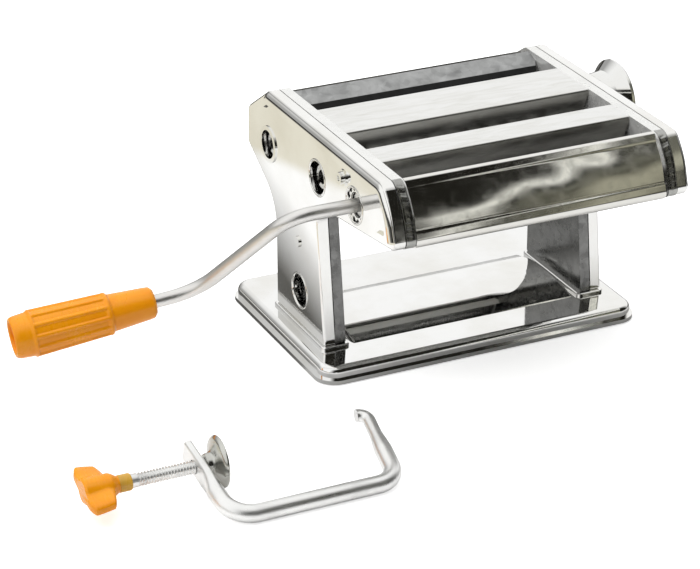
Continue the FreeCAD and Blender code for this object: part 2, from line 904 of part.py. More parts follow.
def shaft_ends(body_half, axis, socket):
    """Both journals of a roller, the left one ending in a crank socket or plain."""
    shoulder_x = plate_inner_x - bush_flange_thickness - shaft_end_play
    right = rod(shoulder_radius, body_half, shoulder_x, axis)
    right = right.fuse(rod(shaft_radius, shoulder_x, gear_inner_x, axis))
    seat_end = gear_outer_x + gear_seat_overhang
    right = right.fuse(rod(gear_seat_radius, gear_inner_x, seat_end, axis))
    if not socket:
        left = rod(shoulder_radius, -shoulder_x, -body_half, axis)
        left = left.fuse(rod(shaft_radius, -plain_shaft_end_x, -shoulder_x, axis))
        return right, left
    left = rod(socket_shoulder_radius, -shoulder_x, -body_half, axis)
    left = left.fuse(rod(socket_radius, -socket_end_x, -shoulder_x, axis))
    return right, left


def cut_socket(shape, axis):
    """Cuts the crank's bore and its cross slot into a shaft's left end."""
    x_open = -socket_end_x - 1
    shape = shape.cut(rod(socket_bore_radius, x_open, -socket_end_x + socket_depth, axis))
    half = socket_slot_width / 2
    slot_end = -socket_end_x + socket_slot_depth
    wide = socket_radius + 1
    slot = box(x_open, slot_end, axis[0] - wide, axis[0] + wide, axis[1] - half, axis[1] + half)
    return shape.cut(turned(slot, axis, crank_angle))


def sheet_roller(axis, socket):
    """Smooth roller with its journals."""
    half = roller_half_length
    body = chamfered_rod(roller_radius, -half, half, axis, roller_end_chamfer)
    right, left = shaft_ends(half, axis, socket)
    body = body.fuse(right).fuse(left)
    return cut_socket(body, axis) if socket else body


def adjustable_roller():
    """Smooth roller that turns in the carriage; its tip is the cam's follower."""
    axis = adjust_roller_axis
    half = roller_half_length
    body = chamfered_rod(roller_radius, -half, half, axis, roller_end_chamfer)
    body = body.fuse(rod(shaft_radius, -plain_shaft_end_x, gear_inner_x, axis))
    body = body.fuse(rod(gear_seat_radius, gear_inner_x, gear_outer_x, axis))
    tip_x = cam_outer_x - follower_end_gap
    return body.fuse(rod(follower_radius, gear_outer_x, tip_x, axis))


def ridge_places(pitch, shifted):
    """Middle of each ridge that fits on a cutter; the partner's are shifted by half a pitch."""
    shift = 0.5 if shifted else 0.0
    reach = (cutter_half_length - pitch / 4) / pitch
    steps = range(math.ceil(-reach - shift), math.floor(reach - shift) + 1)
    return [pitch * (step + shift) for step in steps]


def ridge_profile(pitch, shifted):
    """Outline of a ridged cutter as (x, radius) points."""
    ridge_half = pitch / 4 - cutter_side_clearance / 2
    half = cutter_half_length
    points = [(-half, 0.0), (-half, cutter_groove_radius)]
    for centre in ridge_places(pitch, shifted):
        points.append((centre - ridge_half, cutter_groove_radius))
        points.append((centre - ridge_half, cutter_ridge_radius))
        points.append((centre + ridge_half, cutter_ridge_radius))
        points.append((centre + ridge_half, cutter_groove_radius))
    points.append((half, cutter_groove_radius))
    points.append((half, 0.0))
    return points


def cutter(axis, pitch, shifted, socket):
    """Ridged cutter roller with its journals."""
    body = revolve_x(ridge_profile(pitch, shifted), axis)
    right, left = shaft_ends(cutter_half_length, axis, socket)
    body = body.fuse(right).fuse(left)
    return cut_socket(body, axis) if socket else body


def involute_point(base, radius, start):
    """Point of an involute at a radius, for a flank that starts at an angle."""
    turn = math.sqrt(max((radius / base) ** 2 - 1.0, 0.0))
    angle = start + turn - math.atan(turn)
    return radius * math.cos(angle), radius * math.sin(angle)


def gear_face(teeth, distance):
    """Face of a spur gear that meshes with its twin at a centre distance."""
    pitch_radius = distance / 2
    module = distance / teeth
    pressure = math.radians(gear_pressure_angle)
    base = pitch_radius * math.cos(pressure)
    tip = pitch_radius + module
    root = pitch_radius - module - gear_root_clearance
    half_tooth = (math.pi * module / 2 - gear_backlash / 2) / (2 * pitch_radius)
    start = half_tooth + math.tan(pressure) - pressure
    low = max(base, root)
    flank = []
    for i in range(7):
        radius = low + (tip - low) * i / 6
        y, z = involute_point(base, radius, 0.0)
        angle = math.atan2(z, y)
        flank.append((radius, start - angle))
    edges = []
    step = 2 * math.pi / teeth
    foot = flank[0][1]

    def at(radius, angle):
        return V(0, radius * math.cos(angle), radius * math.sin(angle))

    for i in range(teeth):
        mid = i * step
        right = [at(r, mid - a) for r, a in flank]
        left = [at(r, mid + a) for r, a in reversed(flank)]
        if root < base:
            edges.append(Part.makeLine(at(root, mid - foot), right[0]))
        curve = Part.BSplineCurve()
        curve.interpolate(right)
        edges.append(curve.toShape())
        edges.append(Part.Arc(right[-1], at(tip, mid), left[0]).toShape())
        curve = Part.BSplineCurve()
        curve.interpolate(left)
        edges.append(curve.toShape())
        if root < base:
            edges.append(Part.makeLine(left[-1], at(root, mid + foot)))
        gap_mid = at(root, mid + step / 2)
        edges.append(Part.Arc(at(root, mid + foot), gap_mid, at(root, mid + step - foot)).toShape())
    return Part.Face(Part.Wire(edges))


def gear(teeth, distance, axis, tooth_angle):
    """Spur gear on its seat, with one tooth pointing at an angle in degrees."""
    blank = gear_face(teeth, distance).extrude(V(gear_width, 0, 0))
    blank.rotate(V(0, 0, 0), V(1, 0, 0), tooth_angle)
    blank.translate(V(gear_inner_x, axis[0], axis[1]))
    return blank.cut(rod(gear_seat_radius, gear_inner_x - 1, gear_outer_x + 1, axis))


def gear_pair(teeth, distance, rear_axis, front_axis):
    """A driven gear with a tooth towards its partner, and the partner with a gap."""
    dy = front_axis[0] - rear_axis[0]
    dz = front_axis[1] - rear_axis[1]
    towards = math.degrees(math.atan2(dz, dy))
    half_step = 180.0 / teeth
    rear = gear(teeth, distance, rear_axis, towards)
    front = gear(teeth, distance, front_axis, towards + 180.0 + half_step)
    return rear, front


def carriage():
    """Frame that carries the adjustable roller and slides along both inner plates."""
    x_out = block_outer_x
    x_in = block_inner_x
    low = -roller_radius - cross_bar_gap - cross_bar_height
    solids = box(-x_out, x_out, -cross_bar_width / 2, cross_bar_width / 2, low, low + cross_bar_height)
    for side in (-1, 1):
        xs = sorted((side * x_in, side * x_out))
        block = box(xs[0], xs[1], -block_half_length, block_half_length, low, block_half_height)
        xs = sorted((side * x_out, side * (x_out + tongue_reach)))
        tongue = box(
            xs[0], xs[1], -tongue_half_length, tongue_half_length, -tongue_half_height, tongue_half_height
        )
        solids = solids.fuse(block).fuse(tongue)
    solids = solids.cut(rod(shaft_radius + running_clearance, -far, far, (0.0, 0.0)))
    return carriage_frame(solids)


def scraper(mirror):
    """Bent blade under a roller at the origin; its tip points to the nip."""
    reach = roller_radius + scraper_gap + scraper_sheet
    angle = math.radians(scraper_tip_angle)
    flat_z = -roller_radius - cross_bar_gap
    tip = (reach * math.cos(angle), -reach * math.sin(angle))
    path = [(-cross_bar_width / 2, flat_z), (-cross_bar_width / 2 + scraper_flat, flat_z), tip]
    half = plate_inner_x if mirror else block_inner_x
    blade = bent_sheet(path, [0.0, scraper_bend_radius, 0.0], scraper_sheet, -half, half)
    return blade.mirror(V(0, 0, 0), V(0, 1, 0)) if mirror else blade


def rear_scraper():
    """Blade under the driven roller, held by both inner plates."""
    return moved(scraper(True), 0, drive_roller_axis[0], drive_roller_axis[1])


def front_scraper():
    """Blade under the adjustable roller, riding on the carriage's cross bar."""
    return carriage_frame(scraper(False))


def comb(axis, pitch, shifted, angle):
    """Bar with teeth that reach into a cutter's grooves from below."""
    far_radius = cutter_ridge_radius + comb_gap
    half = plate_inner_x
    width = comb_bar_width / 2
    low = axis[1] - far_radius - comb_bar_depth
    bar = box(-half, half, axis[0] - width, axis[0] + width, low, axis[1] - far_radius)
    tooth_half = pitch / 4 + cutter_side_clearance / 2 - comb_side_gap
    root = axis[1] - far_radius - comb_tooth_root
    top = axis[1] - cutter_groove_radius - comb_side_gap
    reach = comb_tooth_width / 2
    teeth = []
    for centre in ridge_places(pitch, not shifted):
        x0 = centre - tooth_half
        x1 = centre + tooth_half
        teeth.append(box(x0, x1, axis[0] - reach, axis[0] + reach, root, top))
    return turned(bar.multiFuse(teeth), axis, angle)


def combs(rear_axis, front_axis, pitch):
    """Both combs of a cutter pair."""
    rear = comb(rear_axis, pitch, False, comb_angle)
    front = comb(front_axis, pitch, True, -comb_angle)
    return group([rear, front])


def cam_path(share):
    """Point of the spiral's centre line: its distance grows evenly with the turn."""
    turn = cam_turn * share
    distance = cam_start + gap_travel * share
    angle = math.radians(-roller_line_tilt - turn)
    return distance, angle


def spiral_slot(half_width, x0, x1):
    """Spiral slot in which the follower sits at the slot's open end at rest."""
    margin = cam_end_margin / cam_turn
    shares = [-margin + (1 + 2 * margin) * i / 24 for i in range(25)]
    inner = []
    outer = []
    for share in shares:
        distance, angle = cam_path(share)
        slope = gap_travel / math.radians(cam_turn)
        length = math.hypot(distance, slope)
        radial = (math.cos(angle), math.sin(angle))
        across = (math.sin(angle), -math.cos(angle))
        normal = (
            (radial[0] * distance - across[0] * slope) / length,
            (radial[1] * distance - across[1] * slope) / length,
        )
        y = knob_axis[0] + distance * radial[0]
        z = knob_axis[1] + distance * radial[1]
        inner.append(V(x0, y - normal[0] * half_width, z - normal[1] * half_width))
        outer.append(V(x0, y + normal[0] * half_width, z + normal[1] * half_width))
    edges = []
    for points in (inner, outer):
        curve = Part.BSplineCurve()
        curve.interpolate(points)
        edges.append(curve.toShape())
    edges.append(Part.makeLine(inner[0], outer[0]))
    edges.append(Part.makeLine(inner[-1], outer[-1]))
    face = Part.Face(Part.Wire(Part.__sortEdges__(edges)))
    slot = face.extrude(V(x1 - x0, 0, 0))
    for share in (shares[0], shares[-1]):
        distance, angle = cam_path(share)
        place = (knob_axis[0] + distance * math.cos(angle), knob_axis[1] + distance * math.sin(angle))
        slot = slot.fuse(rod(half_width, x0, x1, place))
    return slot


def dial_cam():
    """Disc with the spiral slot, on the stem that passes through the right cover."""
    x0 = cam_inner_x
    x1 = cam_outer_x
    disc = rod(cam_radius, x0, x1, knob_axis)
    disc = disc.cut(spiral_slot(follower_radius + follower_clearance, x0 - 1, x1 + 1))
    stem = rod(cam_collar_radius, x1, cover_inner_x - shaft_end_play / 2, knob_axis)
    stem = stem.fuse(rod(dial_stem_radius, x1, stem_end_x, knob_axis))
    wide = 2 * dial_stem_radius
    for side in (-1, 1):
        ys = sorted((side * dial_flat_half_width, side * wide))
        flat = box(knob_inner_x + 1, stem_end_x + 1, ys[0], ys[1], -wide, wide)
        stem = stem.cut(moved(flat, 0, knob_axis[0], knob_axis[1]))
    return disc.fuse(stem)


def dial_bush():
    """Bush of the dial's stem, pressed into the right cover."""
    inner = dial_stem_radius + running_clearance
    return tube(inner + dial_bush_wall, inner, cover_inner_x, cover_inner_x + dial_bush_reach, knob_axis)


def pin_slot(x0, x1):
    """Half-turn slot around the dial's bush for the knob's pin."""
    half = knob_pin_radius + knob_slot_clearance
    middle = knob_pin_circle
    ring = tube(middle + half, middle - half, x0, x1, knob_axis)
    upper_half = box(x0 - 1, x1 + 1, -far, far, 0, far)
    slot = ring.common(moved(upper_half, 0, knob_axis[0], knob_axis[1]))
    for side in (-1, 1):
        slot = slot.fuse(rod(half, x0, x1, (knob_axis[0] + side * middle, knob_axis[1])))
    return slot


def gap_knob():
    """Knob with a dished rim, hollow behind its face for the return spring."""
    profile = [
        (knob_clearance, 0.0),
        (knob_clearance, knob_neck_radius),
        (knob_neck_length, knob_waist_radius),
        (knob_body_start, knob_body_radius),
        (knob_body_end, knob_body_radius + knob_body_flare),
        (knob_rim_start, knob_rim_radius),
        (knob_length - knob_edge_radius, knob_rim_radius),
        (knob_length, knob_rim_radius - knob_edge_radius),
        (knob_length, knob_dish_radius),
        (knob_length - knob_dish_depth, knob_dish_radius - knob_dish_depth),
        (knob_length - knob_dish_depth, 0.0),
    ]
    knob = revolve_x([(cover_outer_x + x, radius) for x, radius in profile], knob_axis)
    knob = knob.cut(rod(knob_counterbore_radius, knob_web_x, knob_face_x + 1, knob_axis))
    knob = knob.cut(stem_section(knob_inner_x - 1, knob_web_x + 1, knob_bore_clearance))
    relief = dial_stem_radius + dial_relief
    knob = knob.cut(rod(relief, knob_inner_x - 1, knob_inner_x + dial_relief_depth, knob_axis))
    seat = rod(knob_pin_radius, knob_inner_x - 1, knob_inner_x + knob_pin_seat, pin_place())
    return knob.cut(seat)


def pin_place():
    """Place of the knob's pin at rest, at the start of its slot."""
    return knob_axis[0] + knob_pin_circle, knob_axis[1]


def knob_pin():
    """Pin of the knob that rides in the cover's slot."""
    x0 = cover_outer_x - knob_pin_reach
    x1 = knob_inner_x + knob_pin_seat
    return rod(knob_pin_radius, x0, x1, pin_place())


def knob_retainer():
    """Washer riveted on the stem's end, against which the knob's spring pushes."""
    x0 = stem_end_x - retainer_thickness
    ring = rod(retainer_radius, x0, stem_end_x, knob_axis)
    return ring.cut(stem_section(x0 - 1, stem_end_x + 1, 0.0))


def stem_section(x0, x1, clearance):
    """The flattened section of the dial's stem, or a bore with clearance around it."""
    section = rod(dial_stem_radius + clearance, x0, x1, knob_axis)
    half = dial_flat_half_width + clearance
    flats = box(x0 - 1, x1 + 1, -half, half, -far, far)
    return section.common(moved(flats, 0, knob_axis[0], knob_axis[1]))


def knob_spring():
    """Return spring of the knob, drawn as long as it is with the knob pulled out."""
    x1 = stem_end_x - retainer_thickness - knob_spring_wire
    x0 = knob_web_x + knob_pull + knob_spring_wire + knob_spring_end_gap
    helix = Part.makeHelix((x1 - x0) / knob_spring_coils, x1 - x0, knob_spring_radius)
    path = Part.Wire(helix.Edges)
    start = V(knob_spring_radius, 0, 0)
    profile = Part.Wire(Part.makeCircle(knob_spring_wire, start, V(0, 1, 0)))
    coil = path.makePipeShell([profile], True, True)
    coil.rotate(V(0, 0, 0), V(0, 1, 0), 90)
    coil.translate(V(x0, knob_axis[0], knob_axis[1]))
    return coil


def taper_ends(shape, z_top, z_low, loss, y0, y1):
    """Cuts both ends of a flange so that it narrows downwards."""
    for side in (-1, 1):
        x = side * plate_inner_x
        tip_x = x - side * loss
        outer = x + side * far
        corners = [V(x, y0, z_top), V(outer, y0, z_top), V(outer, y0, z_low - far)]
        corners += [V(tip_x, y0, z_low - far), V(tip_x, y0, z_low), V(x, y0, z_top)]
        shape = shape.cut(Part.Face(Part.makePolygon(corners)).extrude(V(0, y1 - y0, 0)))
    return shape


def rear_feed_plate():
    """Sloping plate at the rear that leads the dough into the first slot."""
    path = [below_top(rear_guide_top), below_top(rear_guide_low), below_top(rear_guide_end)]
    sheet = bent_sheet(path, [0.0, guide_bend_radius, 0.0], guide_sheet, -plate_inner_x, plate_inner_x)
    knee = path[1][1]
    start = knee + rear_guide_taper_start
    return taper_ends(sheet, start, knee, rear_guide_taper, 0, rear_guide_top[0] - 2)


def middle_top_guide():
    """Guide between the first and the second slot."""
    drop_z = head_top - middle_drop
    path = [
        below_top(middle_guide_start),
        below_top(middle_guide_knee),
        (middle_guide_top_y, head_top),
        (slot_two_rear_y, head_top),
        (slot_two_rear_y, drop_z),
    ]
    radii = [0.0, middle_guide_radius, middle_guide_radius, guide_bend_radius, 0.0]
    sheet = bent_sheet(path, radii, guide_sheet, -plate_inner_x, plate_inner_x)
    start = head_top - drop_taper_start
    return taper_ends(sheet, start, drop_z, drop_taper, slot_two_rear_y - 1, slot_two_rear_y + 2)


def front_top_guide():
    """Guide between the second and the third slot."""
    drop_z = head_top - front_drop
    path = [
        below_top(slope_two_end),
        (slot_two_front_y, head_top),
        (slot_three_rear_y, head_top),
        (slot_three_rear_y, drop_z),
    ]
    radii = [0.0, guide_bend_radius, guide_bend_radius, 0.0]
    sheet = bent_sheet(path, radii, guide_sheet, -plate_inner_x, plate_inner_x)
    start = head_top - drop_taper_start
    return taper_ends(sheet, start, drop_z, drop_taper, slot_three_rear_y - 1, slot_three_rear_y + 2)


def front_cover():
    """Bent cover that closes the head's front, with a folded lower lip."""
    face = offset_points([side_points[0], side_points[1], side_points[2]], cover_inset, False)
    path = [
        below_top(slope_three_end),
        (slot_three_front_y, head_top),
        (place_on_line(face[0], face[1], head_top), head_top),
        face[1],
        face[2],
        below_top(front_lip),
    ]
    radii = [0.0, guide_bend_radius, front_rim_radius, front_mid_radius, front_bottom_radius, 0.0]
    return bent_sheet(path, radii, guide_sheet, -plate_inner_x, plate_inner_x)


def place_on_line(a, b, z):
    """The y place at which the line through two points reaches a height."""
    return a[0] + (b[0] - a[0]) * (z - a[1]) / (b[1] - a[1])


def rear_cover():
    """Bent cover that closes the head's rear."""
    face = offset_points(side_points[6:10], cover_inset, False)
    lip_z = head_top - rear_cover_lip_depth
    top_z = head_top - rear_cover_top_depth
    path = [
        (place_on_line(face[0], face[1], lip_z), lip_z),
        face[1],
        face[2],
        (place_on_line(face[2], face[3], top_z), top_z),
    ]
    radii = [0.0, rear_bottom_radius, rear_top_radius, 0.0]
    return bent_sheet(path, radii, guide_sheet, -plate_inner_x, plate_inner_x)


def tie_rods():
    """Round bars that join both inner plates, tapped at both ends."""
    solids = []
    for place in [screw_place] + hidden_rods:
        bar = rod(tie_rod_radius, -plate_inner_x, plate_inner_x, place)
        for side in (-1, 1):
            inner = side * (plate_inner_x - tie_screw_depth)
            bar = bar.cut(rod(tie_screw_radius, inner, side * (plate_inner_x + 1), place))
        solids.append(bar)
    return group(solids)


def tie_screws():
    """Hidden screws that hold the tie rods to the inner plates."""
    solids = []
    for place in hidden_rods:
        for side in (-1, 1):
            inner = side * (plate_inner_x - tie_screw_depth)
            head_x = side * plate_outer_x
            shank = rod(tie_screw_radius, inner, head_x, place)
            head = rod(tie_screw_head, head_x, side * (plate_outer_x + tie_screw_head_height), place)
            solids.append(shank.fuse(head))
    return group(solids)


def cover_screws():
    """Flanged screws that hold the covers through spacers to the first tie rod."""
    solids = []
    place = screw_place
    for side in (-1, 1):
        inner = side * (plate_inner_x - tie_screw_depth)
        flange_x = side * (cover_outer_x + screw_flange_thickness)
        shank = rod(tie_screw_radius, inner, side * cover_outer_x, place)
        flange = rod(screw_flange_radius, side * cover_outer_x, flange_x, place)
        dome_x = flange_x + side * screw_dome_height
        dome = rod(screw_dome_radius, flange_x, dome_x, place)
        cross = rod(screw_socket_radius, dome_x - side * screw_socket_depth, dome_x + side, place)
        solids.append(shank.fuse(flange).fuse(dome).cut(cross))
    return group(solids)


def cover_spacers():
    """Tubes that keep the covers off the inner plates at the screws and rivets."""
    solids = []
    for place, bore in ((screw_place, tie_screw_radius), (leg_rivet, rivet_shank_radius)):
        for side in (-1, 1):
            solids.append(tube(spacer_radius, bore, side * plate_outer_x, side * cover_inner_x, place))
    return group(solids)


def leg_rivets():
    """Rivets that join cover and inner plate on each leg."""
    solids = []
    for side in (-1, 1):
        shank = rod(rivet_shank_radius, side * plate_inner_x, side * cover_outer_x, leg_rivet)
        head_x = cover_outer_x + rivet_head_height
        head = rod(rivet_head_radius, side * cover_outer_x, side * head_x, leg_rivet)
        tail_x = side * (plate_inner_x - rivet_head_height)
        tail = rod(rivet_head_radius, side * plate_inner_x, tail_x, leg_rivet)
        solids.append(shank.fuse(head).fuse(tail))
    return group(solids)


def crank_point(x, radius):
    """A point of the crank's middle plane, at a distance from its axis."""
    angle = math.radians(crank_angle)
    return V(x, narrow_axis[0] + radius * math.cos(angle), narrow_axis[1] + radius * math.sin(angle))


def crank_corner():
    """Second corner of the crank's centre line as (x, radius), where the stem begins."""
    return -crank_corner_x - crank_reach * math.tan(math.radians(crank_arm_tilt)), crank_reach


def stem_point(distance):
    """Point of the stem's centre line at a distance from its corner, as (x, radius)."""
    x, radius = crank_corner()
    splay = math.radians(crank_stem_splay)
    return x - distance * math.cos(splay), radius + distance * math.sin(splay)


def crank_path():
    """Centre line of the bent rod: straight, arm, and the stem inside the grip."""
    first = (-crank_corner_x, 0.0)
    second = crank_corner()
    start = (-socket_end_x + crank_insert, 0.0)
    end = stem_point(grip_start + grip_stem_length)
    bends = [
        corner_arc(start, first, second, crank_bend_radius),
        corner_arc(first, second, end, crank_end_bend_radius),
    ]
    edges = []
    last = start
    for a, m, b in bends:
        edges.append(Part.makeLine(crank_point(*last), crank_point(*a)))
        edges.append(Part.Arc(crank_point(*a), crank_point(*m), crank_point(*b)).toShape())
        last = b
    edges.append(Part.makeLine(crank_point(*last), crank_point(*end)))
    return Part.Wire(edges)


def crank_rod():
    """Bent steel rod with the hole for its cross pin."""
    path = crank_path()
    start = crank_point(-socket_end_x + crank_insert, 0.0)
    profile = Part.Wire(Part.makeCircle(crank_rod_radius, start, V(1, 0, 0)))
    shape = path.makePipeShell([profile], True, False)
    return shape.cut(crank_pin())


def crank_pin():
    """Pin across the rod's end that turns the socket."""
    middle = crank_point(-crank_pin_x, 0.0)
    angle = math.radians(crank_angle)
    along = V(0, math.cos(angle), math.sin(angle))
    start = middle - along * crank_pin_half_length
    return Part.makeCylinder(crank_pin_radius, 2 * crank_pin_half_length, start, along)


def on_stem(shape):
    """Moves a shape built outwards from the origin along -X onto the stem, at the grip's start."""
    copy = shape.copy()
    angle = math.radians(crank_angle)
    across = V(0, -math.sin(angle), math.cos(angle))
    copy.rotate(V(0, 0, 0), across, -crank_stem_splay)
    copy.translate(crank_point(*stem_point(grip_start)))
    return copy


def grip_outline():
    """Half outline of the grip as (x, radius) points, from the rod's side outwards."""
    profile = [
        (0.0, 0.0),
        (0.0, grip_face_radius),
        (grip_shoulder, grip_shoulder_radius),
        (grip_neck, grip_neck_radius),
        (grip_rib_start, grip_rib_start_radius),
        (grip_rib_start + grip_rib_step, grip_rib_start_radius + grip_rib_step),
        (grip_rib_end, grip_rib_end_radius),
        (grip_rib_end + grip_rib_step, grip_cap_radius),
        (grip_cap_end, grip_cap_end_radius),
        (grip_length, grip_end_radius),
        (grip_length, 0.0),
    ]
    return [(-x, radius) for x, radius in profile]


def grip_flute(angle):
    """Round groove along the tapered ribbed part at an angle about the stem."""
    x0 = grip_rib_start + grip_rib_step + grip_flute_margin
    x1 = grip_rib_end - grip_flute_margin
    rib_x = grip_rib_start + grip_rib_step
    rib_radius = grip_rib_start_radius + grip_rib_step
    slope = (grip_rib_end_radius - rib_radius) / (grip_rib_end - rib_x)
    lift = grip_flute_radius - grip_flute_depth
    ends = []
    for x in (x0, x1):
        radius = rib_radius + slope * (x - rib_x) + lift
        ends.append(V(-x, radius * math.cos(angle), radius * math.sin(angle)))
    along = ends[1] - ends[0]
    groove = Part.makeCylinder(grip_flute_radius, along.Length, ends[0], along)
    for end in ends:
        groove = groove.fuse(Part.makeSphere(grip_flute_radius, end))
    return groove


def crank_grip():
    """Fluted grip that spins on the rod's stem."""
    grip = revolve_x(grip_outline(), (0.0, 0.0))
    for i in range(grip_flute_count):
        grip = grip.cut(grip_flute(2 * math.pi * i / grip_flute_count))
    centre = (0.0, 0.0)
    grip = grip.cut(rod(crank_rod_radius + grip_bore_clearance, -far, far, centre))
    pocket_x = -grip_stem_length + grip_collar_thickness + grip_collar_gap
    pocket = rod(grip_collar_radius + grip_pocket_clearance, -far, pocket_x, centre)
    return on_stem(grip.cut(pocket))


def grip_collar():
    """Collar on the stem's end that keeps the grip on."""
    x = -grip_stem_length
    return on_stem(tube(grip_collar_radius, crank_rod_radius, x, x + grip_collar_thickness, (0.0, 0.0)))


def grip_plug():
    """Plug that closes the grip's end."""
    x = -grip_length
    return on_stem(rod(grip_collar_radius + grip_pocket_clearance, x, x + grip_plug_length, (0.0, 0.0)))


def clamp_frame_place(shape):
    """Moves a shape from the clamp's own frame to where it lies."""
    copy = shape.copy()
    copy.rotate(V(0, 0, 0), V(1, 0, 0), clamp_tilt)
    copy.translate(V(clamp_corner[0], clamp_corner[1], clamp_rod_radius))
    return copy


def clamp_plane(u, v):
    """A point of the clamp's own plane."""
    return V(u, v, 0)


def arm_point(distance):
    """Point of the flat arm at a distance from the spine."""
    lean = math.radians(clamp_arm_lean)
    return -distance * math.sin(lean), distance * math.cos(lean)


def hook_point(distance):
    """Point of the hook arm at a distance from the spine."""
    lean = math.radians(clamp_hook_lean)
    return clamp_spine_length + distance * math.sin(lean), distance * math.cos(lean)


def arm_section(distance, half_u, half_w, power):
    """Closed section across the flat arm, from round to nearly square."""
    u, v = arm_point(distance)
    lean = math.radians(clamp_arm_lean)
    points = []
    for i in range(24):
        angle = 2 * math.pi * i / 24
        c = math.cos(angle)
        s = math.sin(angle)
        a = half_u * math.copysign(abs(c) ** (2.0 / power), c)
        w = half_w * math.copysign(abs(s) ** (2.0 / power), s)
        points.append(V(u + a * math.cos(lean), v + a * math.sin(lean), w))
    curve = Part.BSplineCurve()
    curve.interpolate(points, PeriodicFlag=True)
    return Part.Wire(curve.toShape())


def clamp_spine():
    """Round rod of the clamp's spine with both bends."""
    start = arm_point(clamp_flat_start - clamp_neck_length)
    hook_start = hook_point(clamp_hook_taper_start)
    left = corner_arc(start, (0.0, 0.0), (clamp_spine_length, 0.0), clamp_corner_radius)
    right = corner_arc((0.0, 0.0), (clamp_spine_length, 0.0), hook_start, clamp_hook_corner_radius)
    edges = [
        Part.makeLine(clamp_plane(*start), clamp_plane(*left[0])),
        Part.Arc(*[clamp_plane(*p) for p in left]).toShape(),
        Part.makeLine(clamp_plane(*left[2]), clamp_plane(*right[0])),
        Part.Arc(*[clamp_plane(*p) for p in right]).toShape(),
        Part.makeLine(clamp_plane(*right[2]), clamp_plane(*hook_start)),
    ]
    along = clamp_plane(*left[0]) - clamp_plane(*start)
    profile = Part.Wire(Part.makeCircle(clamp_rod_radius, clamp_plane(*start), along))
    return Part.Wire(edges).makePipeShell([profile], True, False)


def clamp_hook():
    """Hook arm that tapers from the spine, with its tip bent towards the screw."""
    base = clamp_plane(*hook_point(clamp_hook_taper_start))
    thin = clamp_plane(*hook_point(clamp_hook_taper_end))
    cone = Part.makeCone(clamp_rod_radius, clamp_hook_radius, (thin - base).Length, base, thin - base)
    corner = hook_point(clamp_hook_length)
    lean = math.radians(clamp_hook_lean)
    reach = clamp_hook_bend + clamp_hook_tip
    end = (corner[0] - reach * math.cos(lean), corner[1] + reach * math.sin(lean))
    bend = corner_arc(hook_point(clamp_hook_taper_end), corner, end, clamp_hook_bend)
    edges = [
        Part.makeLine(thin, clamp_plane(*bend[0])),
        Part.Arc(*[clamp_plane(*p) for p in bend]).toShape(),
        Part.makeLine(clamp_plane(*bend[2]), clamp_plane(*end)),
    ]
    profile = Part.Wire(Part.makeCircle(clamp_hook_radius, thin, thin - base))
    return cone.fuse(Part.Wire(edges).makePipeShell([profile], True, False))


def clamp_frame():
    """Bent rod of the clamp, flattened where the screw passes through."""
    buried = clamp_rod_radius - 0.05
    sections = [
        arm_section(clamp_flat_start - clamp_neck_length - 3.0, buried, buried, 2.0),
        arm_section(clamp_flat_start - clamp_neck_length, buried, buried, 2.0),
        arm_section(clamp_flat_start, clamp_arm_thickness / 2, clamp_arm_width / 2, clamp_arm_squareness),
        arm_section(clamp_arm_length, clamp_arm_thickness / 2, clamp_arm_width / 2, clamp_arm_squareness),
    ]
    shape = clamp_spine().fuse(clamp_hook()).fuse(Part.makeLoft(sections, True, True))
    shape = clamp_frame_place(shape)
    y, z = clamp_screw_axis()
    middle = clamp_corner[0]
    reach = 2 * clamp_arm_width
    bore = clamp_screw_radius + clamp_screw_clearance
    return shape.cut(rod(bore, middle - reach, middle + clamp_corner_radius, (y, z)))


def clamp_screw_axis():
    """Axis of the clamp's screw in the YZ plane."""
    tilt = math.radians(clamp_tilt)
    y = clamp_corner[1] + clamp_screw_offset * math.cos(tilt)
    z = clamp_rod_radius + clamp_screw_offset * math.sin(tilt)
    return y, z


def pad_hub_x():
    """The pad's hub end nearest the arm."""
    lean_shift = clamp_screw_offset * math.tan(math.radians(clamp_arm_lean))
    return clamp_corner[0] - lean_shift + clamp_arm_thickness / 2 + screw_pad_gap


def knob_end_x():
    """The screw knob's end nearest the arm."""
    return pad_hub_x() - screw_pad_gap - clamp_arm_thickness - screw_free_length


def clamp_screw():
    """Threaded screw with a thin neck that is riveted behind the pad."""
    radius = clamp_screw_radius
    start = pad_hub_x() - pad_end_play
    neck_end = pad_hub_x() + pad_hub_length + pad_end_play
    inner = knob_end_x() - wing_seat_depth
    points = [(inner, 0.0), (inner, radius), (knob_end_x() + thread_start, radius)]
    turns = int((start - knob_end_x() - thread_start - 2.0) / thread_pitch)
    for i in range(turns):
        x = knob_end_x() + thread_start + i * thread_pitch
        points.append((x + thread_pitch * 0.5, radius - thread_depth))
        points.append((x + thread_pitch * 0.9, radius))
        points.append((x + thread_pitch, radius))
    points.append((start, radius))
    points.append((start, pad_neck_radius))
    points.append((neck_end, pad_neck_radius))
    points.append((neck_end, pad_rivet_radius))
    points.append((neck_end + pad_rivet_height, pad_rivet_radius - 0.8))
    points.append((neck_end + pad_rivet_height, 0.0))
    return revolve_x(points, clamp_screw_axis())


def clamp_pad():
    """Dished pad with a hub in which the screw's neck turns."""
    x = pad_hub_x()
    hub_end = x + pad_hub_length
    bore = pad_neck_radius + running_clearance
    rim_x = hub_end + pad_dish
    points = [
        (x, bore),
        (x, pad_hub_radius),
        (hub_end - pad_sheet, pad_hub_radius + pad_hub_flare),
        (rim_x - 2 * pad_sheet, pad_radius - pad_sheet),
        (rim_x, pad_radius),
        (rim_x, pad_radius - pad_sheet),
        (hub_end, pad_hub_radius + pad_hub_flare),
        (hub_end, bore),
    ]
    return revolve_x(points, clamp_screw_axis())


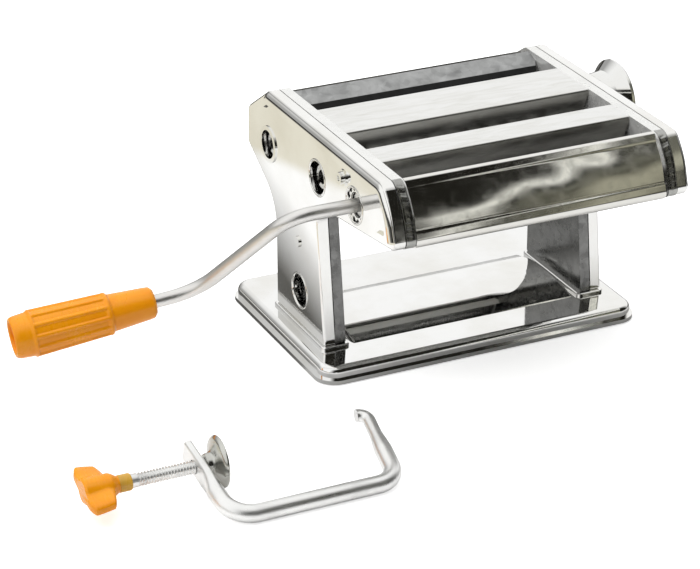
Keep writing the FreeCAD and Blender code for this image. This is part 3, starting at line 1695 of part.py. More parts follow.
def clamp_wing_knob():
    """Wing knob moulded on the screw's end."""
    x = knob_end_x()
    y, z = clamp_screw_axis()
    far_x = x - wing_knob_length
    cone_x = x - wing_collar_length
    outline = [
        (x, 0.0),
        (x, wing_collar_radius - wing_collar_edge),
        (x - wing_collar_edge, wing_collar_radius),
        (cone_x, wing_collar_radius),
        (cone_x - wing_hub_cone, wing_hub_radius),
        (far_x + wing_hub_edge, wing_hub_radius),
        (far_x, wing_hub_radius - wing_hub_edge),
        (far_x, 0.0),
    ]
    hub = revolve_x(outline, (y, z))
    half = wing_thickness / 2
    wings = box(far_x, far_x + wing_length, y - wing_half_span, y + wing_half_span, z - half, z + half)
    long_edges = [e for e in wings.Edges if e.BoundBox.XLength > wing_length - 0.1]
    wings = wings.makeFillet(wing_edge_radius, long_edges)
    ends = [e for e in wings.Edges if e.BoundBox.XLength < 0.01]
    wings = wings.makeFillet(wing_end_radius, ends)
    knob = turned(hub.fuse(wings), (y, z), wing_tilt)
    bore = rod(clamp_screw_radius, x - wing_seat_depth, x + 1, (y, z))
    return knob.cut(bore)


def main():
    """Builds and writes every sub-part."""
    save("base_plate", base_plate())
    save("base_floor", base_floor())
    save("rubber_mat", rubber_mat())
    save("foot_screws", foot_screws())
    save("left_inner_plate", inner_plate(-1))
    save("right_inner_plate", inner_plate(1))
    save("left_side_cover", left_side_cover())
    save("right_side_cover", right_side_cover())
    save("rear_socket_ring", socket_ring())
    save("left_bushes", left_bushes())
    save("right_bushes", right_bushes())
    save("tie_rods", tie_rods())
    save("tie_screws", tie_screws())
    save("cover_screws", cover_screws())
    save("cover_spacers", cover_spacers())
    save("leg_rivets", leg_rivets())
    save("rear_feed_plate", rear_feed_plate())
    save("middle_top_guide", middle_top_guide())
    save("front_top_guide", front_top_guide())
    save("front_cover", front_cover())
    save("rear_cover", rear_cover())
    save("rear_scraper", rear_scraper())
    save("wide_combs", combs(wide_axis, wide_partner_axis, wide_pitch))
    save("narrow_combs", combs(narrow_axis, narrow_partner_axis, narrow_pitch))

    save("drive_roller", sheet_roller(drive_roller_axis, True))
    save("adjustable_roller", adjustable_roller())
    save("roller_carriage", carriage())
    save("front_scraper", front_scraper())
    rear, front = gear_pair(roller_gear_teeth, closed_distance, drive_roller_axis, adjust_roller_axis)
    save("drive_roller_gear", rear)
    save("adjustable_roller_gear", front)

    save("wide_cutter", cutter(wide_axis, wide_pitch, False, True))
    save("wide_cutter_partner", cutter(wide_partner_axis, wide_pitch, True, False))
    rear, front = gear_pair(cutter_gear_teeth, cutter_spacing, wide_axis, wide_partner_axis)
    save("wide_cutter_gear", rear)
    save("wide_partner_gear", front)
    save("narrow_cutter", cutter(narrow_axis, narrow_pitch, False, True))
    save("narrow_cutter_partner", cutter(narrow_partner_axis, narrow_pitch, True, False))
    rear, front = gear_pair(cutter_gear_teeth, cutter_spacing, narrow_axis, narrow_partner_axis)
    save("narrow_cutter_gear", rear)
    save("narrow_partner_gear", front)

    save("dial_cam", dial_cam())
    save("dial_bush", dial_bush())
    save("gap_knob", gap_knob())
    save("knob_pin", knob_pin())
    save("knob_retainer", knob_retainer())
    save("knob_spring", knob_spring())

    save("crank_rod", crank_rod())
    save("crank_pin", crank_pin())
    save("crank_grip", crank_grip())
    save("grip_collar", grip_collar())
    save("grip_plug", grip_plug())

    save("clamp_frame", clamp_frame())
    save("clamp_screw", clamp_screw())
    save("clamp_pad", clamp_pad())
    save("clamp_wing_knob", clamp_wing_knob())


main()
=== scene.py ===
"""Looks of a hand cranked pasta machine, with its table clamp lying beside it."""

import json
import logging
import math
from dataclasses import dataclass
from enum import Enum
from typing import Callable, Iterable, Optional, Sequence

import bmesh
import bpy
from mathutils import Matrix, Vector


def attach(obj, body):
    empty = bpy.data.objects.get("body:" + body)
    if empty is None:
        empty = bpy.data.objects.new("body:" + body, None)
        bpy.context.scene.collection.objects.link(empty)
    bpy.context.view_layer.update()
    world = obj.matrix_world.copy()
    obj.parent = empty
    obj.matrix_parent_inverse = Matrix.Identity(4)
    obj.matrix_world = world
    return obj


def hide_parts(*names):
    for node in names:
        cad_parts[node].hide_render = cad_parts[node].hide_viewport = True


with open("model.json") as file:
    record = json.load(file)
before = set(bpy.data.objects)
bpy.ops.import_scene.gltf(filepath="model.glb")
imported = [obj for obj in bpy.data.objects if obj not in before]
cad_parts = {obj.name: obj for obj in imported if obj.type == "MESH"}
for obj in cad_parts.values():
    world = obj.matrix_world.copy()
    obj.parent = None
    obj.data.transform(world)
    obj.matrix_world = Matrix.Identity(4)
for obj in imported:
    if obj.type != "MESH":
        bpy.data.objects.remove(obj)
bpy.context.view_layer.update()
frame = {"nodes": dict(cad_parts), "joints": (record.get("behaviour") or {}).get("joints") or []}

MM = 0.001
FULL_TURN = 2 * math.pi
ALONG_X = Vector((1.0, 0.0, 0.0))
UPWARD = Vector((0.0, 0.0, 1.0))
WHITE = (1.0, 1.0, 1.0)
LOG = logging.getLogger("pasta_machine")

Pair = tuple[float, float]
Triple = tuple[float, float, float]
Outline = tuple[Pair, ...]
Socket = bpy.types.NodeSocket


class Slot(Enum):
    """Material slots of the record that the pieces take their finish from."""

    POLISHED = "polished"
    ZINC = "zinc_sheet"
    SATIN = "satin_sheet"
    ROLLER = "roller_steel"
    PLAIN = "plain_steel"
    GEAR = "gear_steel"
    BUSH = "bush_plastic"
    COMB = "comb_plastic"
    RUBBER = "rubber"
    KNOB = "knob_chrome"
    ROD = "rod_chrome"
    GRIP = "grip_plastic"
    CLAMP = "clamp_steel"
    WING = "wing_plastic"


class Grain(Enum):
    """Direction in which the fine marks of a metal run, as noise scales along X, Y and Z."""

    ALONG_X = (60.0, 2600.0, 2600.0)
    ROUND_X = (5200.0, 90.0, 90.0)
    EVEN = (1500.0, 1500.0, 1500.0)


# Shader nodes


class Tree:
    """A node tree while its nodes are being laid out."""

    def __init__(self, tree: bpy.types.NodeTree) -> None:
        """Takes the node tree of a material or of the world."""
        self.tree = tree

    def node(self, kind: str, **inputs: object) -> bpy.types.Node:
        """Adds a node and sets its inputs.

        Args:
            kind: The node's type without the ShaderNode prefix.
            **inputs: Values or sockets for its inputs, by name with _ for spaces.

        Returns:
            The new node.
        """
        made = self.tree.nodes.new("ShaderNode" + kind)
        for key, value in inputs.items():
            self.feed(made.inputs[key.replace("_", " ")], value)
        return made

    def feed(self, target: Socket, value: object) -> None:
        """Links a socket to an input, or sets the input's value.

        Args:
            target: The input.
            value: A socket, number, colour or vector.
        """
        if isinstance(value, Socket):
            self.tree.links.new(value, target)
        else:
            target.default_value = value

    def math(self, operation: str, first: object, second: object = 0.0) -> Socket:
        """Calculates with two values.

        Args:
            operation: The math node's operation.
            first: Value or socket.
            second: Value or socket.

        Returns:
            The result's socket.
        """
        made = self.node("Math")
        made.operation = operation
        self.feed(made.inputs[0], first)
        self.feed(made.inputs[1], second)
        return made.outputs[0]

    def product(self, first: object, second: object) -> Socket:
        """Product of two values or sockets."""
        return self.math("MULTIPLY", first, second)

    def difference(self, first: object, second: object) -> Socket:
        """First value or socket less the second."""
        return self.math("SUBTRACT", first, second)

    def sum(self, *values: Socket) -> Socket:
        """Adds several values.

        Args:
            *values: Their sockets.

        Returns:
            The sum's socket.
        """
        total = values[0]
        for value in values[1:]:
            total = self.math("ADD", total, value)
        return total

    def axes(self, vector: Socket) -> list[Socket]:
        """The X, Y and Z parts of a vector."""
        return list(self.node("SeparateXYZ", Vector=vector).outputs)

    def spread(self, value: Socket, low: float, high: float, span: Pair = (0.0, 1.0)) -> Socket:
        """Maps a span of values onto low to high, and holds what lies outside it.

        Args:
            value: Socket of the value.
            low: Result at the start of the span.
            high: Result at its end.
            span: Start and end.

        Returns:
            The result's socket.
        """
        made = self.node("MapRange", Value=value, From_Min=span[0], From_Max=span[1], To_Min=low, To_Max=high)
        return made.outputs["Result"]

    def blend(self, share: object, first: object, second: object) -> Socket:
        """Mixes two colours by a share.

        Args:
            share: Share of the second colour, a value or socket.
            first: Colour or socket.
            second: Colour or socket.

        Returns:
            The mixed colour's socket.
        """
        made = self.node("MixRGB", Fac=share)
        for key, value in (("Color1", first), ("Color2", second)):
            self.feed(made.inputs[key], value if isinstance(value, Socket) else (*value, 1.0))
        return made.outputs["Color"]

    def camera_sees(self) -> Socket:
        """1 for what the camera sees itself, 0 for reflected and scattered light."""
        return self.node("LightPath").outputs["Is Camera Ray"]


class Graph(Tree):
    """The shader nodes of one material while it is being laid out."""

    def __init__(self, name: str) -> None:
        """Makes an empty material with its principled shader.

        Args:
            name: The material's name.
        """
        self.material = bpy.data.materials.new(name)
        self.material.use_nodes = True
        super().__init__(self.material.node_tree)
        self.shader = self.tree.nodes["Principled BSDF"]
        self.coordinates = self.tree.nodes.new("ShaderNodeTexCoord")
        self.spot = self.coordinates.outputs["Object"]

    def place(self, scale: Sequence[float]) -> Socket:
        """Object coordinates multiplied by a scale.

        Args:
            scale: One number for every direction, or one for each.

        Returns:
            The vector's socket.
        """
        stretch = self.node("Mapping", Vector=self.spot)
        stretch.inputs["Scale"].default_value = scale if len(scale) == 3 else tuple(scale) * 3
        return stretch.outputs["Vector"]

    def noise(self, *scale: float, detail: float = 3.0, warp: float = 0.0) -> Socket:
        """Fractal noise over the object.

        Args:
            *scale: Cells per metre, one number or those along X, Y and Z.
            detail: Octaves of the noise.
            warp: How far the pattern is distorted.

        Returns:
            The noise value's socket.
        """
        made = self.node("TexNoise", Vector=self.place(scale), Scale=1.0, Detail=detail, Distortion=warp)
        return made.outputs["Fac"]

    def cells(self, scale: float) -> Socket:
        """A random grey for each cell of a crystal pattern.

        Args:
            scale: Cells per metre.

        Returns:
            The grey's socket.
        """
        made = self.node("TexVoronoi", Vector=self.place((1.0,)), Scale=scale)
        return self.node("RGBToBW", Color=made.outputs["Color"]).outputs["Val"]

    def facing_up(self) -> Socket:
        """1 where the surface faces up, 0 where it stands upright or faces down."""
        return self.spread(self.axes(self.coordinates.outputs["Normal"])[2], 0.0, 1.0, (0.55, 0.85))

    def relief(self, *layers: tuple[Socket, float]) -> None:
        """Chains bumps into the shader's normal.

        Args:
            *layers: Pairs of a height socket and its full height in metres.
        """
        normal = None
        for height, distance in layers:
            made = self.node("Bump", Height=height, Distance=distance, Strength=1.0)
            if normal is not None:
                self.tree.links.new(normal, made.inputs["Normal"])
            normal = made.outputs["Normal"]
        self.tree.links.new(normal, self.shader.inputs["Normal"])

    def set(self, **inputs: object) -> "Graph":
        """Sets or links inputs of the principled shader.

        Args:
            **inputs: Values or sockets, by name with _ for spaces.

        Returns:
            The graph itself.
        """
        for key, value in inputs.items():
            self.feed(self.shader.inputs[key.replace("_", " ")], value)
        return self


# Finishes


@dataclass(frozen=True)
class Finish:
    """A surface finish with the record's slot that it belongs to."""

    name: str
    slot: Slot
    colour: Triple

    def graph(self) -> Graph:
        """The material's nodes, laid out by each kind of finish."""
        raise NotImplementedError

    def material(self) -> bpy.types.Material:
        """The finish's material, made once."""
        return bpy.data.materials.get(self.name) or self.graph().material

    def darker(self, share: float) -> Triple:
        """The finish's colour with this share of its light."""
        return tuple(share * c for c in self.colour)


@dataclass(frozen=True)
class MirrorSheet(Finish):
    """Polished sheet: slow waves of thin steel, buffing haze and a few rub marks."""

    roughness: float = 0.045
    wave: float = 0.00022
    wave_scale: Triple = (11.0, 11.0, 11.0)
    haze: float = 0.05
    rub_scale: Triple = (120.0, 22.0, 160.0)
    rub_span: Pair = (0.42, 0.78)
    tint: Triple = (0.74, 0.72, 0.66)
    tint_share: float = 0.55
    tint_scale: float = 30.0
    tint_span: Pair = (0.4, 0.8)
    buff_scale: Triple = (2400.0, 240.0, 2400.0)
    buff_depth: float = 0.0000012

    def graph(self) -> Graph:
        """Lays out the polished sheet."""
        g = Graph(self.name)
        waves = g.noise(*self.wave_scale, detail=1.0)
        rubs = g.noise(*self.rub_scale, detail=5.0, warp=0.6)
        haze = g.spread(rubs, self.roughness, self.roughness + self.haze, self.rub_span)
        tints = g.spread(g.noise(self.tint_scale, detail=4.0), 0.0, self.tint_share, self.tint_span)
        g.relief((waves, self.wave), (g.noise(*self.buff_scale, detail=2.0), self.buff_depth))
        return g.set(Base_Color=g.blend(tints, self.colour, self.tint), Metallic=1.0, Roughness=haze)


@dataclass(frozen=True)
class GuideSheet(Finish):
    """Feed guide sheet: bright on its flats; where it stands in a slot, dark, which is partly painted shade
    and partly dull oil-smeared steel, lighter towards the left end.
    """

    roughness: float = 0.1
    smear_scale: Triple = (38.0, 160.0, 160.0)
    smear_haze: float = 0.14
    haze_span: Pair = (0.4, 0.75)
    upright_haze: float = 0.24
    # Partly painted shade in the slot and partly dull steel: the dark colour of the upright faces
    dull_and_shade: Triple = (0.22, 0.215, 0.2)
    stain: Triple = (0.55, 0.545, 0.52)
    stain_share: float = 0.7
    stain_span: Pair = (0.35, 0.75)
    # The upright faces get lighter towards the left end
    lighter_left_share: float = 0.45
    lighter_left_x: Pair = (-0.075, 0.02)
    film: Triple = (0.66, 0.65, 0.6)
    film_share: float = 0.5
    film_span: Pair = (0.42, 0.75)
    wave_scale: float = 11.0
    wave_depth: float = 0.0001
    fleck_scale: float = 900.0
    fleck_depth: float = 0.000004

    def graph(self) -> Graph:
        """Lays out the two sides of the sheet."""
        g = Graph(self.name)
        up = g.facing_up()
        smears = g.noise(*self.smear_scale, detail=6.0, warp=0.7)
        # Upright faces: the dark colour (painted shade with dull steel), lightened by smears and towards the
        # left end
        stain_and_left_tone = g.sum(g.spread(smears, 0.0, self.stain_share, self.stain_span),
                     g.spread(g.axes(g.spot)[0], self.lighter_left_share, 0.0, self.lighter_left_x))
        upright = g.blend(stain_and_left_tone, self.dull_and_shade, self.stain)
        flat = g.blend(g.spread(smears, 0.0, self.film_share, self.film_span), self.colour, self.film)
        haze = g.spread(smears, self.roughness, self.roughness + self.smear_haze, self.haze_span)
        dullness = g.product(g.difference(1.0, up), self.upright_haze)
        g.relief((g.noise(self.wave_scale, detail=1.0), self.wave_depth),
                 (g.noise(self.fleck_scale), self.fleck_depth))
        return g.set(Base_Color=g.blend(up, upright, flat), Metallic=1.0, Roughness=g.sum(haze, dullness))


@dataclass(frozen=True)
class ZincSheet(Finish):
    """Zinc coated sheet with its soft crystal flowers and handling smears."""

    roughness: float = 0.3
    crystal: float = 320.0
    dents: float = 0.00002
    # Painted shade: upright faces take this share of the colour
    upright_shade_tone: float = 1.0
    # Fewer dark mottles on faces that look up, which is part of their painted light
    up_contrast: float = 1.0
    # Painted light: above this height (metres) the colour stays full and the sheet turns partly diffuse, so
    # it shows whiter
    painted_light_above: float = 9.0
    painted_light_fade: float = 0.004
    painted_light_metal: float = 0.45
    # Painted shade: a near black strip below a given y (object metres), standing for the shadow of the slot
    # under the edge
    shade_strip_before: float = -9.0
    shade_strip_fade: float = 0.0004
    shade_strip_tone: float = 0.03
    dark_share: float = 0.62
    flower_tone: float = 0.45
    flower_haze: float = 0.14
    smear_scale: float = 70.0
    smear_tone: Pair = (-0.15, 0.55)
    tone_span: Pair = (0.3, 0.75)
    smear_haze: Pair = (-0.06, 0.1)
    haze_span: Pair = (0.3, 0.7)
    speck_depth: float = 0.000002

    def graph(self) -> Graph:
        """Lays out the zinc coating, with painted shade on its upright faces, painted light on faces that
        look up or lie high, and a painted shade strip along one edge.
        """
        g = Graph(self.name)
        flowers = g.cells(self.crystal)
        smears = g.noise(self.smear_scale, detail=5.0, warp=0.8)
        up = g.facing_up()
        _, y, z = g.axes(g.spot)
        share = g.product(g.sum(g.spread(flowers, 0.0, self.flower_tone),
                                g.spread(smears, *self.smear_tone, self.tone_span)),
                          g.spread(up, 1.0, self.up_contrast))
        rough = g.sum(g.spread(flowers, self.roughness, self.roughness + self.flower_haze),
                      g.spread(smears, *self.smear_haze, self.haze_span))
        # Painted light and shade: full colour where the face looks up or lies high, darker on upright faces
        high = g.spread(z, 0.0, 1.0, (self.painted_light_above, self.painted_light_above + self.painted_light_fade))
        tone = g.spread(g.math("MAXIMUM", up, high), self.upright_shade_tone, 1.0)
        # Painted shade strip along the edge below the given y
        edge = g.spread(y, self.shade_strip_tone, 1.0, (self.shade_strip_before, self.shade_strip_before + self.shade_strip_fade))
        coat = g.blend(share, self.colour, self.darker(self.dark_share))
        g.relief((smears, self.dents), (g.noise(*Grain.EVEN.value, detail=2.0), self.speck_depth))
        g.set(Base_Color=g.blend(g.product(tone, edge), (0.0, 0.0, 0.0), coat), Metallic=1.0, Roughness=rough)
        # Painted light: less metallic above the height, so the flange tops show whiter
        if self.painted_light_above < 1.0:
            g.set(Metallic=g.spread(high, 1.0, self.painted_light_metal))
        return g


@dataclass(frozen=True)
class GroundSteel(Finish):
    """Turned, drawn or brushed steel whose fine marks run one way."""

    grain: Grain = Grain.ALONG_X
    roughness: float = 0.28
    depth: float = 0.000003
    mark_haze: float = 0.07
    mark_span: Pair = (0.3, 0.7)
    stain: float = 0.35
    stain_scale: float = 45.0
    stain_span: Pair = (0.35, 0.75)
    stain_haze: float = 0.12
    haze_span: Pair = (0.45, 0.8)
    stain_depth: float = 0.00001
    dark_share: float = 0.55

    def graph(self) -> Graph:
        """Lays out the fine marks and faint stains."""
        g = Graph(self.name)
        marks = g.noise(*self.grain.value)
        stains = g.noise(self.stain_scale, detail=5.0, warp=0.5)
        share = g.spread(stains, 0.0, self.stain, self.stain_span)
        rough = g.sum(g.spread(marks, self.roughness - self.mark_haze, self.roughness + self.mark_haze,
                               self.mark_span),
                      g.spread(stains, 0.0, self.stain_haze, self.haze_span))
        g.relief((marks, self.depth), (stains, self.stain_depth))
        tone = g.blend(share, self.colour, self.darker(self.dark_share))
        return g.set(Base_Color=tone, Metallic=1.0, Roughness=rough)


@dataclass(frozen=True)
class MouldedPlastic(Finish):
    """Injection moulded plastic: slight flow tone, fine texture and handling scuffs."""

    roughness: float = 0.26
    deep: Triple = (0.9, 0.27, 0.002)
    subsurface: float = 0.05
    light_reach: Triple = (0.004, 0.0015, 0.0004)
    specular: float = 0.3
    coat: float = 0.25
    coat_roughness: float = 0.08
    flow_scale: float = 38.0
    flow_tone: float = 0.6
    tone_span: Pair = (0.35, 0.75)
    flow_haze: Pair = (-0.03, 0.06)
    haze_span: Pair = (0.3, 0.7)
    flow_depth: float = 0.00004
    scuff_scale: Triple = (420.0, 90.0, 420.0)
    scuff_haze: float = 0.2
    scuff_span: Pair = (0.5, 0.75)
    grain_scale: float = 1700.0
    grain_depth: float = 0.000006

    def graph(self) -> Graph:
        """Lays out the moulded surface."""
        g = Graph(self.name)
        flow = g.noise(self.flow_scale, detail=4.0, warp=1.2)
        scuffs = g.noise(*self.scuff_scale, detail=5.0, warp=0.3)
        rough = g.sum(g.spread(scuffs, self.roughness, self.roughness + self.scuff_haze, self.scuff_span),
                      g.spread(flow, *self.flow_haze, self.haze_span))
        tone = g.blend(g.spread(flow, 0.0, self.flow_tone, self.tone_span), self.colour, self.deep)
        g.relief((flow, self.flow_depth), (g.noise(self.grain_scale, detail=2.0), self.grain_depth))
        return g.set(Base_Color=tone, Roughness=rough, Subsurface_Weight=self.subsurface,
                     Subsurface_Radius=self.light_reach, Specular_IOR_Level=self.specular,
                     Coat_Weight=self.coat, Coat_Roughness=self.coat_roughness)


@dataclass(frozen=True)
class PlainPolymer(Finish):
    """Dull plastic or rubber with a fine pebble and dusty high spots."""

    roughness: float = 0.5
    pebble: float = 0.00002
    pebble_scale: float = 900.0
    pebble_haze: Pair = (-0.05, 0.12)
    haze_span: Pair = (0.3, 0.7)
    dust: Triple = (0.5, 0.5, 0.48)
    dust_share: float = 0.2
    dust_scale: float = 60.0
    dust_span: Pair = (0.4, 0.8)

    def graph(self) -> Graph:
        """Lays out the pebbled surface."""
        g = Graph(self.name)
        pebbles = g.noise(self.pebble_scale)
        dust = g.spread(g.noise(self.dust_scale, detail=6.0), 0.0, self.dust_share, self.dust_span)
        low, high = (self.roughness + haze for haze in self.pebble_haze)
        g.relief((pebbles, self.pebble))
        return g.set(Base_Color=g.blend(dust, self.colour, self.dust),
                     Roughness=g.spread(pebbles, low, high, self.haze_span))


class Finishes:
    """Every finish of the machine, named for what it covers."""

    TRAY = MirrorSheet("polished_base_tray", Slot.POLISHED, (0.92, 0.92, 0.915), 0.035, 0.00005)
    COVER = MirrorSheet("polished_side_cover", Slot.POLISHED, (0.94, 0.938, 0.925), 0.05, 0.00012)
    FRONT = MirrorSheet("polished_front_cover", Slot.POLISHED, (0.84, 0.83, 0.8), 0.05, 0.00035,
                        wave_scale=(8.0, 10.0, 22.0))
    GUIDE = GuideSheet("polished_feed_guide", Slot.POLISHED, (0.85, 0.85, 0.84))
    TRIM = MirrorSheet("polished_small_parts", Slot.POLISHED, (0.88, 0.88, 0.86), 0.06, 0.00001)
    # The rear feed plate has a painted shade strip along its lower visible edge, where the slot's shadow
    # falls
    FEED = ZincSheet("satin_feed_plate", Slot.SATIN, (0.47, 0.475, 0.475), roughness=0.34, crystal=260.0,
                     shade_strip_before=0.0171)
    # The inner sheet: upright faces darkened as painted shade, faces that look up and flange tops above 128
    # mm kept bright as painted light
    INNER = ZincSheet("zinc_inner_sheet", Slot.ZINC, (0.85, 0.85, 0.835), roughness=0.16, crystal=340.0,
                      upright_shade_tone=0.3, up_contrast=0.25, painted_light_above=0.128)
    CRIMP = ZincSheet("crimped_zinc_flange", Slot.ZINC, (0.5, 0.5, 0.48), roughness=0.12, crystal=420.0,
                      dents=0.0003)
    ROLLER = GroundSteel("ground_roller_steel", Slot.ROLLER, (0.66, 0.66, 0.65), Grain.ROUND_X, 0.24)
    PLAIN = GroundSteel("plain_steel_parts", Slot.PLAIN, (0.52, 0.52, 0.5), Grain.ALONG_X, 0.34)
    GEAR = GroundSteel("hobbed_gear_steel", Slot.GEAR, (0.46, 0.455, 0.44), Grain.EVEN, 0.36, stain=0.6)
    KNOB = MirrorSheet("chromed_knob", Slot.KNOB, (0.87, 0.87, 0.86), 0.04, 0.00001)
    ROD = GroundSteel("satin_crank_rod", Slot.ROD, (0.86, 0.85, 0.83), Grain.ALONG_X, 0.36, stain=0.25)
    CLAMP = GroundSteel("zinc_plated_clamp", Slot.CLAMP, (0.96, 0.96, 0.95), Grain.ALONG_X, 0.33, stain=0.3)
    PAD = GroundSteel("pressed_clamp_pad", Slot.CLAMP, (0.68, 0.68, 0.64), Grain.ROUND_X, 0.17, stain=0.7)
    GRIP = MouldedPlastic("orange_crank_grip", Slot.GRIP, (1.0, 0.375, 0.004))
    WING = MouldedPlastic("orange_wing_knob", Slot.WING, (1.0, 0.375, 0.004), roughness=0.22)
    COLLAR = MouldedPlastic("aged_wing_collar", Slot.WING, (0.75, 0.42, 0.05), deep=(0.5, 0.3, 0.06))
    BUSH = PlainPolymer("white_bearing_plastic", Slot.BUSH, (0.82, 0.82, 0.79), 0.42, 0.000006)
    COMB = PlainPolymer("food_safe_comb_plastic", Slot.COMB, (0.78, 0.78, 0.74), 0.45, 0.000008)
    RUBBER = PlainPolymer("black_base_rubber", Slot.RUBBER, (0.018, 0.018, 0.018), 0.72, 0.00003)


# Meshes


class Shape:
    """Points and faces of one piece while it is being made, in millimetres."""

    def __init__(self) -> None:
        """Starts with nothing."""
        self.points: list[Vector] = []
        self.faces: list[tuple[int, ...]] = []

    def ring(self, points: Iterable[Vector]) -> list[int]:
        """Adds points.

        Args:
            points: The points, in order.

        Returns:
            Their numbers.
        """
        first = len(self.points)
        self.points.extend(points)
        return list(range(first, len(self.points)))

    def bridge(self, a: Sequence[int], b: Sequence[int]) -> None:
        """Faces between two closed rings, without the edge that a shared point leaves out.

        Args:
            a: Point numbers of the first ring.
            b: As many of the second.
        """
        for i in range(len(a)):
            j = (i + 1) % len(a)
            face = tuple(dict.fromkeys((a[i], a[j], b[j], b[i])))
            if len(face) > 2:
                self.faces.append(face)

    def loft(self, rings: Sequence[Sequence[Vector]], looped: bool = False) -> "Shape":
        """Skin through closed rings.

        Args:
            rings: Rings of points, each with the same count.
            looped: Whether the last ring joins the first. Otherwise both ends are capped.

        Returns:
            The shape itself.
        """
        numbers = [self.ring(points) for points in rings]
        for a, b in zip(numbers, numbers[1:]):
            self.bridge(a, b)
        if looped:
            self.bridge(numbers[-1], numbers[0])
        else:
            self.faces += [tuple(reversed(numbers[0])), tuple(numbers[-1])]
        return self

    def mesh(self, name: str) -> bpy.types.Mesh:
        """Makes the bare mesh in metres.

        Args:
            name: The mesh's name.

        Returns:
            The mesh.
        """
        mesh = bpy.data.meshes.new(name)
        mesh.from_pydata([p * MM for p in self.points], [], self.faces)
        return mesh

    def object(self, name: str, finish: Finish, body: str, sharp: float) -> bpy.types.Object:
        """Makes the piece and lets it ride on a body.

        Args:
            name: The piece's name.
            finish: What covers it.
            body: The CAD body that it moves with.
            sharp: Angle in degrees above which an edge stays sharp.

        Returns:
            The new object.
        """
        mesh = self.mesh(name)
        work = bmesh.new()
        work.from_mesh(mesh)
        bmesh.ops.remove_doubles(work, verts=work.verts, dist=1e-7)
        bmesh.ops.recalc_face_normals(work, faces=work.faces)
        work.to_mesh(mesh)
        work.free()
        for polygon in mesh.polygons:
            polygon.use_smooth = True
        mesh.set_sharp_from_angle(angle=math.radians(sharp))
        piece = add_object(name, mesh)
        piece.data.materials.append(finish.material())
        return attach(piece, body)


def add_object(name: str, data: bpy.types.ID) -> bpy.types.Object:
    """Puts an object into the scene.

    Args:
        name: The object's name.
        data: Its mesh, camera or light.

    Returns:
        The object.
    """
    made = bpy.data.objects.new(name, data)
    bpy.context.scene.collection.objects.link(made)
    return made


def dress(finish: Finish, *nodes: str) -> list[str]:
    """Gives CAD nodes a finish through their material slots.

    Args:
        finish: The finish.
        *nodes: Names of the nodes.

    Returns:
        The names, for the log.
    """
    for name in nodes:
        for place in frame["nodes"][name].material_slots:
            place.link = "OBJECT"
            place.material = finish.material()
    return list(nodes)


def around(axis: Vector, start: Vector) -> Callable[[float, float, float], Vector]:
    """Cylinder coordinates about a line.

    Args:
        axis: The line's direction.
        start: A point of the line.

    Returns:
        A function of (distance along, radius, angle) that gives a point.
    """
    along = axis.normalized()
    side = along.cross(UPWARD).normalized()
    other = along.cross(side)
    return lambda s, r, a: start + along * s + side * (r * math.cos(a)) + other * (r * math.sin(a))


def turn_angles(count: int) -> list[float]:
    """Angles that divide a full turn into so many steps."""
    return [FULL_TURN * i / count for i in range(count)]


def lathe(profile: Sequence[Pair], axis: Vector, start: Vector, steps: int,
          ripple: Optional[Callable[[float, float], float]] = None) -> Shape:
    """Turned shape.

    Args:
        profile: Points as (distance along the axis, radius); a radius of 0 closes the end.
        axis: Direction of the axis.
        start: Point of the axis at distance 0, in millimetres.
        steps: Points round the axis.
        ripple: Adds to the radius, from the distance and the angle.

    Returns:
        The shape.
    """
    shape = Shape()
    at = around(axis, start)
    rings = []
    for s, radius in profile:
        if radius <= 0.0:
            rings.append(shape.ring([at(s, 0.0, 0.0)]) * steps)
            continue
        rings.append(shape.ring(at(s, radius + (ripple(s, a) if ripple else 0.0), a)
                                for a in turn_angles(steps)))
    for a, b in zip(rings, rings[1:]):
        shape.bridge(a, b)
    return shape


def smooth_profile(points: Sequence[Pair], rounding: float, steps: int = 5) -> list[Pair]:
    """Outline with its inner corners rounded.

    Args:
        points: Corners of an open outline.
        rounding: Largest distance from a corner at which its round starts.
        steps: Points on each round.

    Returns:
        The finer outline.
    """
    out = [points[0]]
    for before, corner, after in zip(points, points[1:], points[2:]):
        b, c, a = Vector(before), Vector(corner), Vector(after)
        cut = min(rounding, (b - c).length * 0.45, (a - c).length * 0.45)
        first = c + (b - c).normalized() * cut
        last = c + (a - c).normalized() * cut
        for i in range(steps + 1):
            t = i / steps
            out.append(tuple(first * (1 - t) ** 2 + c * (2 * t * (1 - t)) + last * t * t))
    out.append(points[-1])
    return out


def round_route(outline: Outline, radii: Sequence[float], step: float) -> list[Vector]:
    """Side view of a bent sheet.

    Args:
        outline: Its ends and the corners between them, as (y, z).
        radii: Bend radius at each inner corner.
        step: Distance between points.

    Returns:
        Points along the sheet, at x 0.
    """
    corners = [Vector((0.0, y, z)) for y, z in outline]
    route = [corners[0]]
    for before, corner, after, radius in zip(corners, corners[1:], corners[2:], radii):
        back = (before - corner).normalized()
        on = (after - corner).normalized()
        half = back.angle(on) / 2
        cut = radius / math.tan(half)
        centre = corner + (back + on).normalized() * (radius / math.sin(half))
        first = corner + back * cut - centre
        last = corner + on * cut - centre
        turn = first.angle(last)
        count = max(4, int(turn * radius / step))
        run_to(route, centre + first, step)
        for i in range(1, count + 1):
            t = i / count
            mixed = first * math.sin((1 - t) * turn) + last * math.sin(t * turn)
            route.append(centre + mixed / math.sin(turn))
    run_to(route, corners[-1], step)
    return route


def run_to(route: list[Vector], end: Vector, step: float) -> None:
    """Adds a straight run to a route.

    Args:
        route: Points so far.
        end: Where the run ends.
        step: Distance between points.
    """
    start = route[-1]
    count = max(1, int((end - start).length / step))
    route.extend(start.lerp(end, i / count) for i in range(1, count + 1))


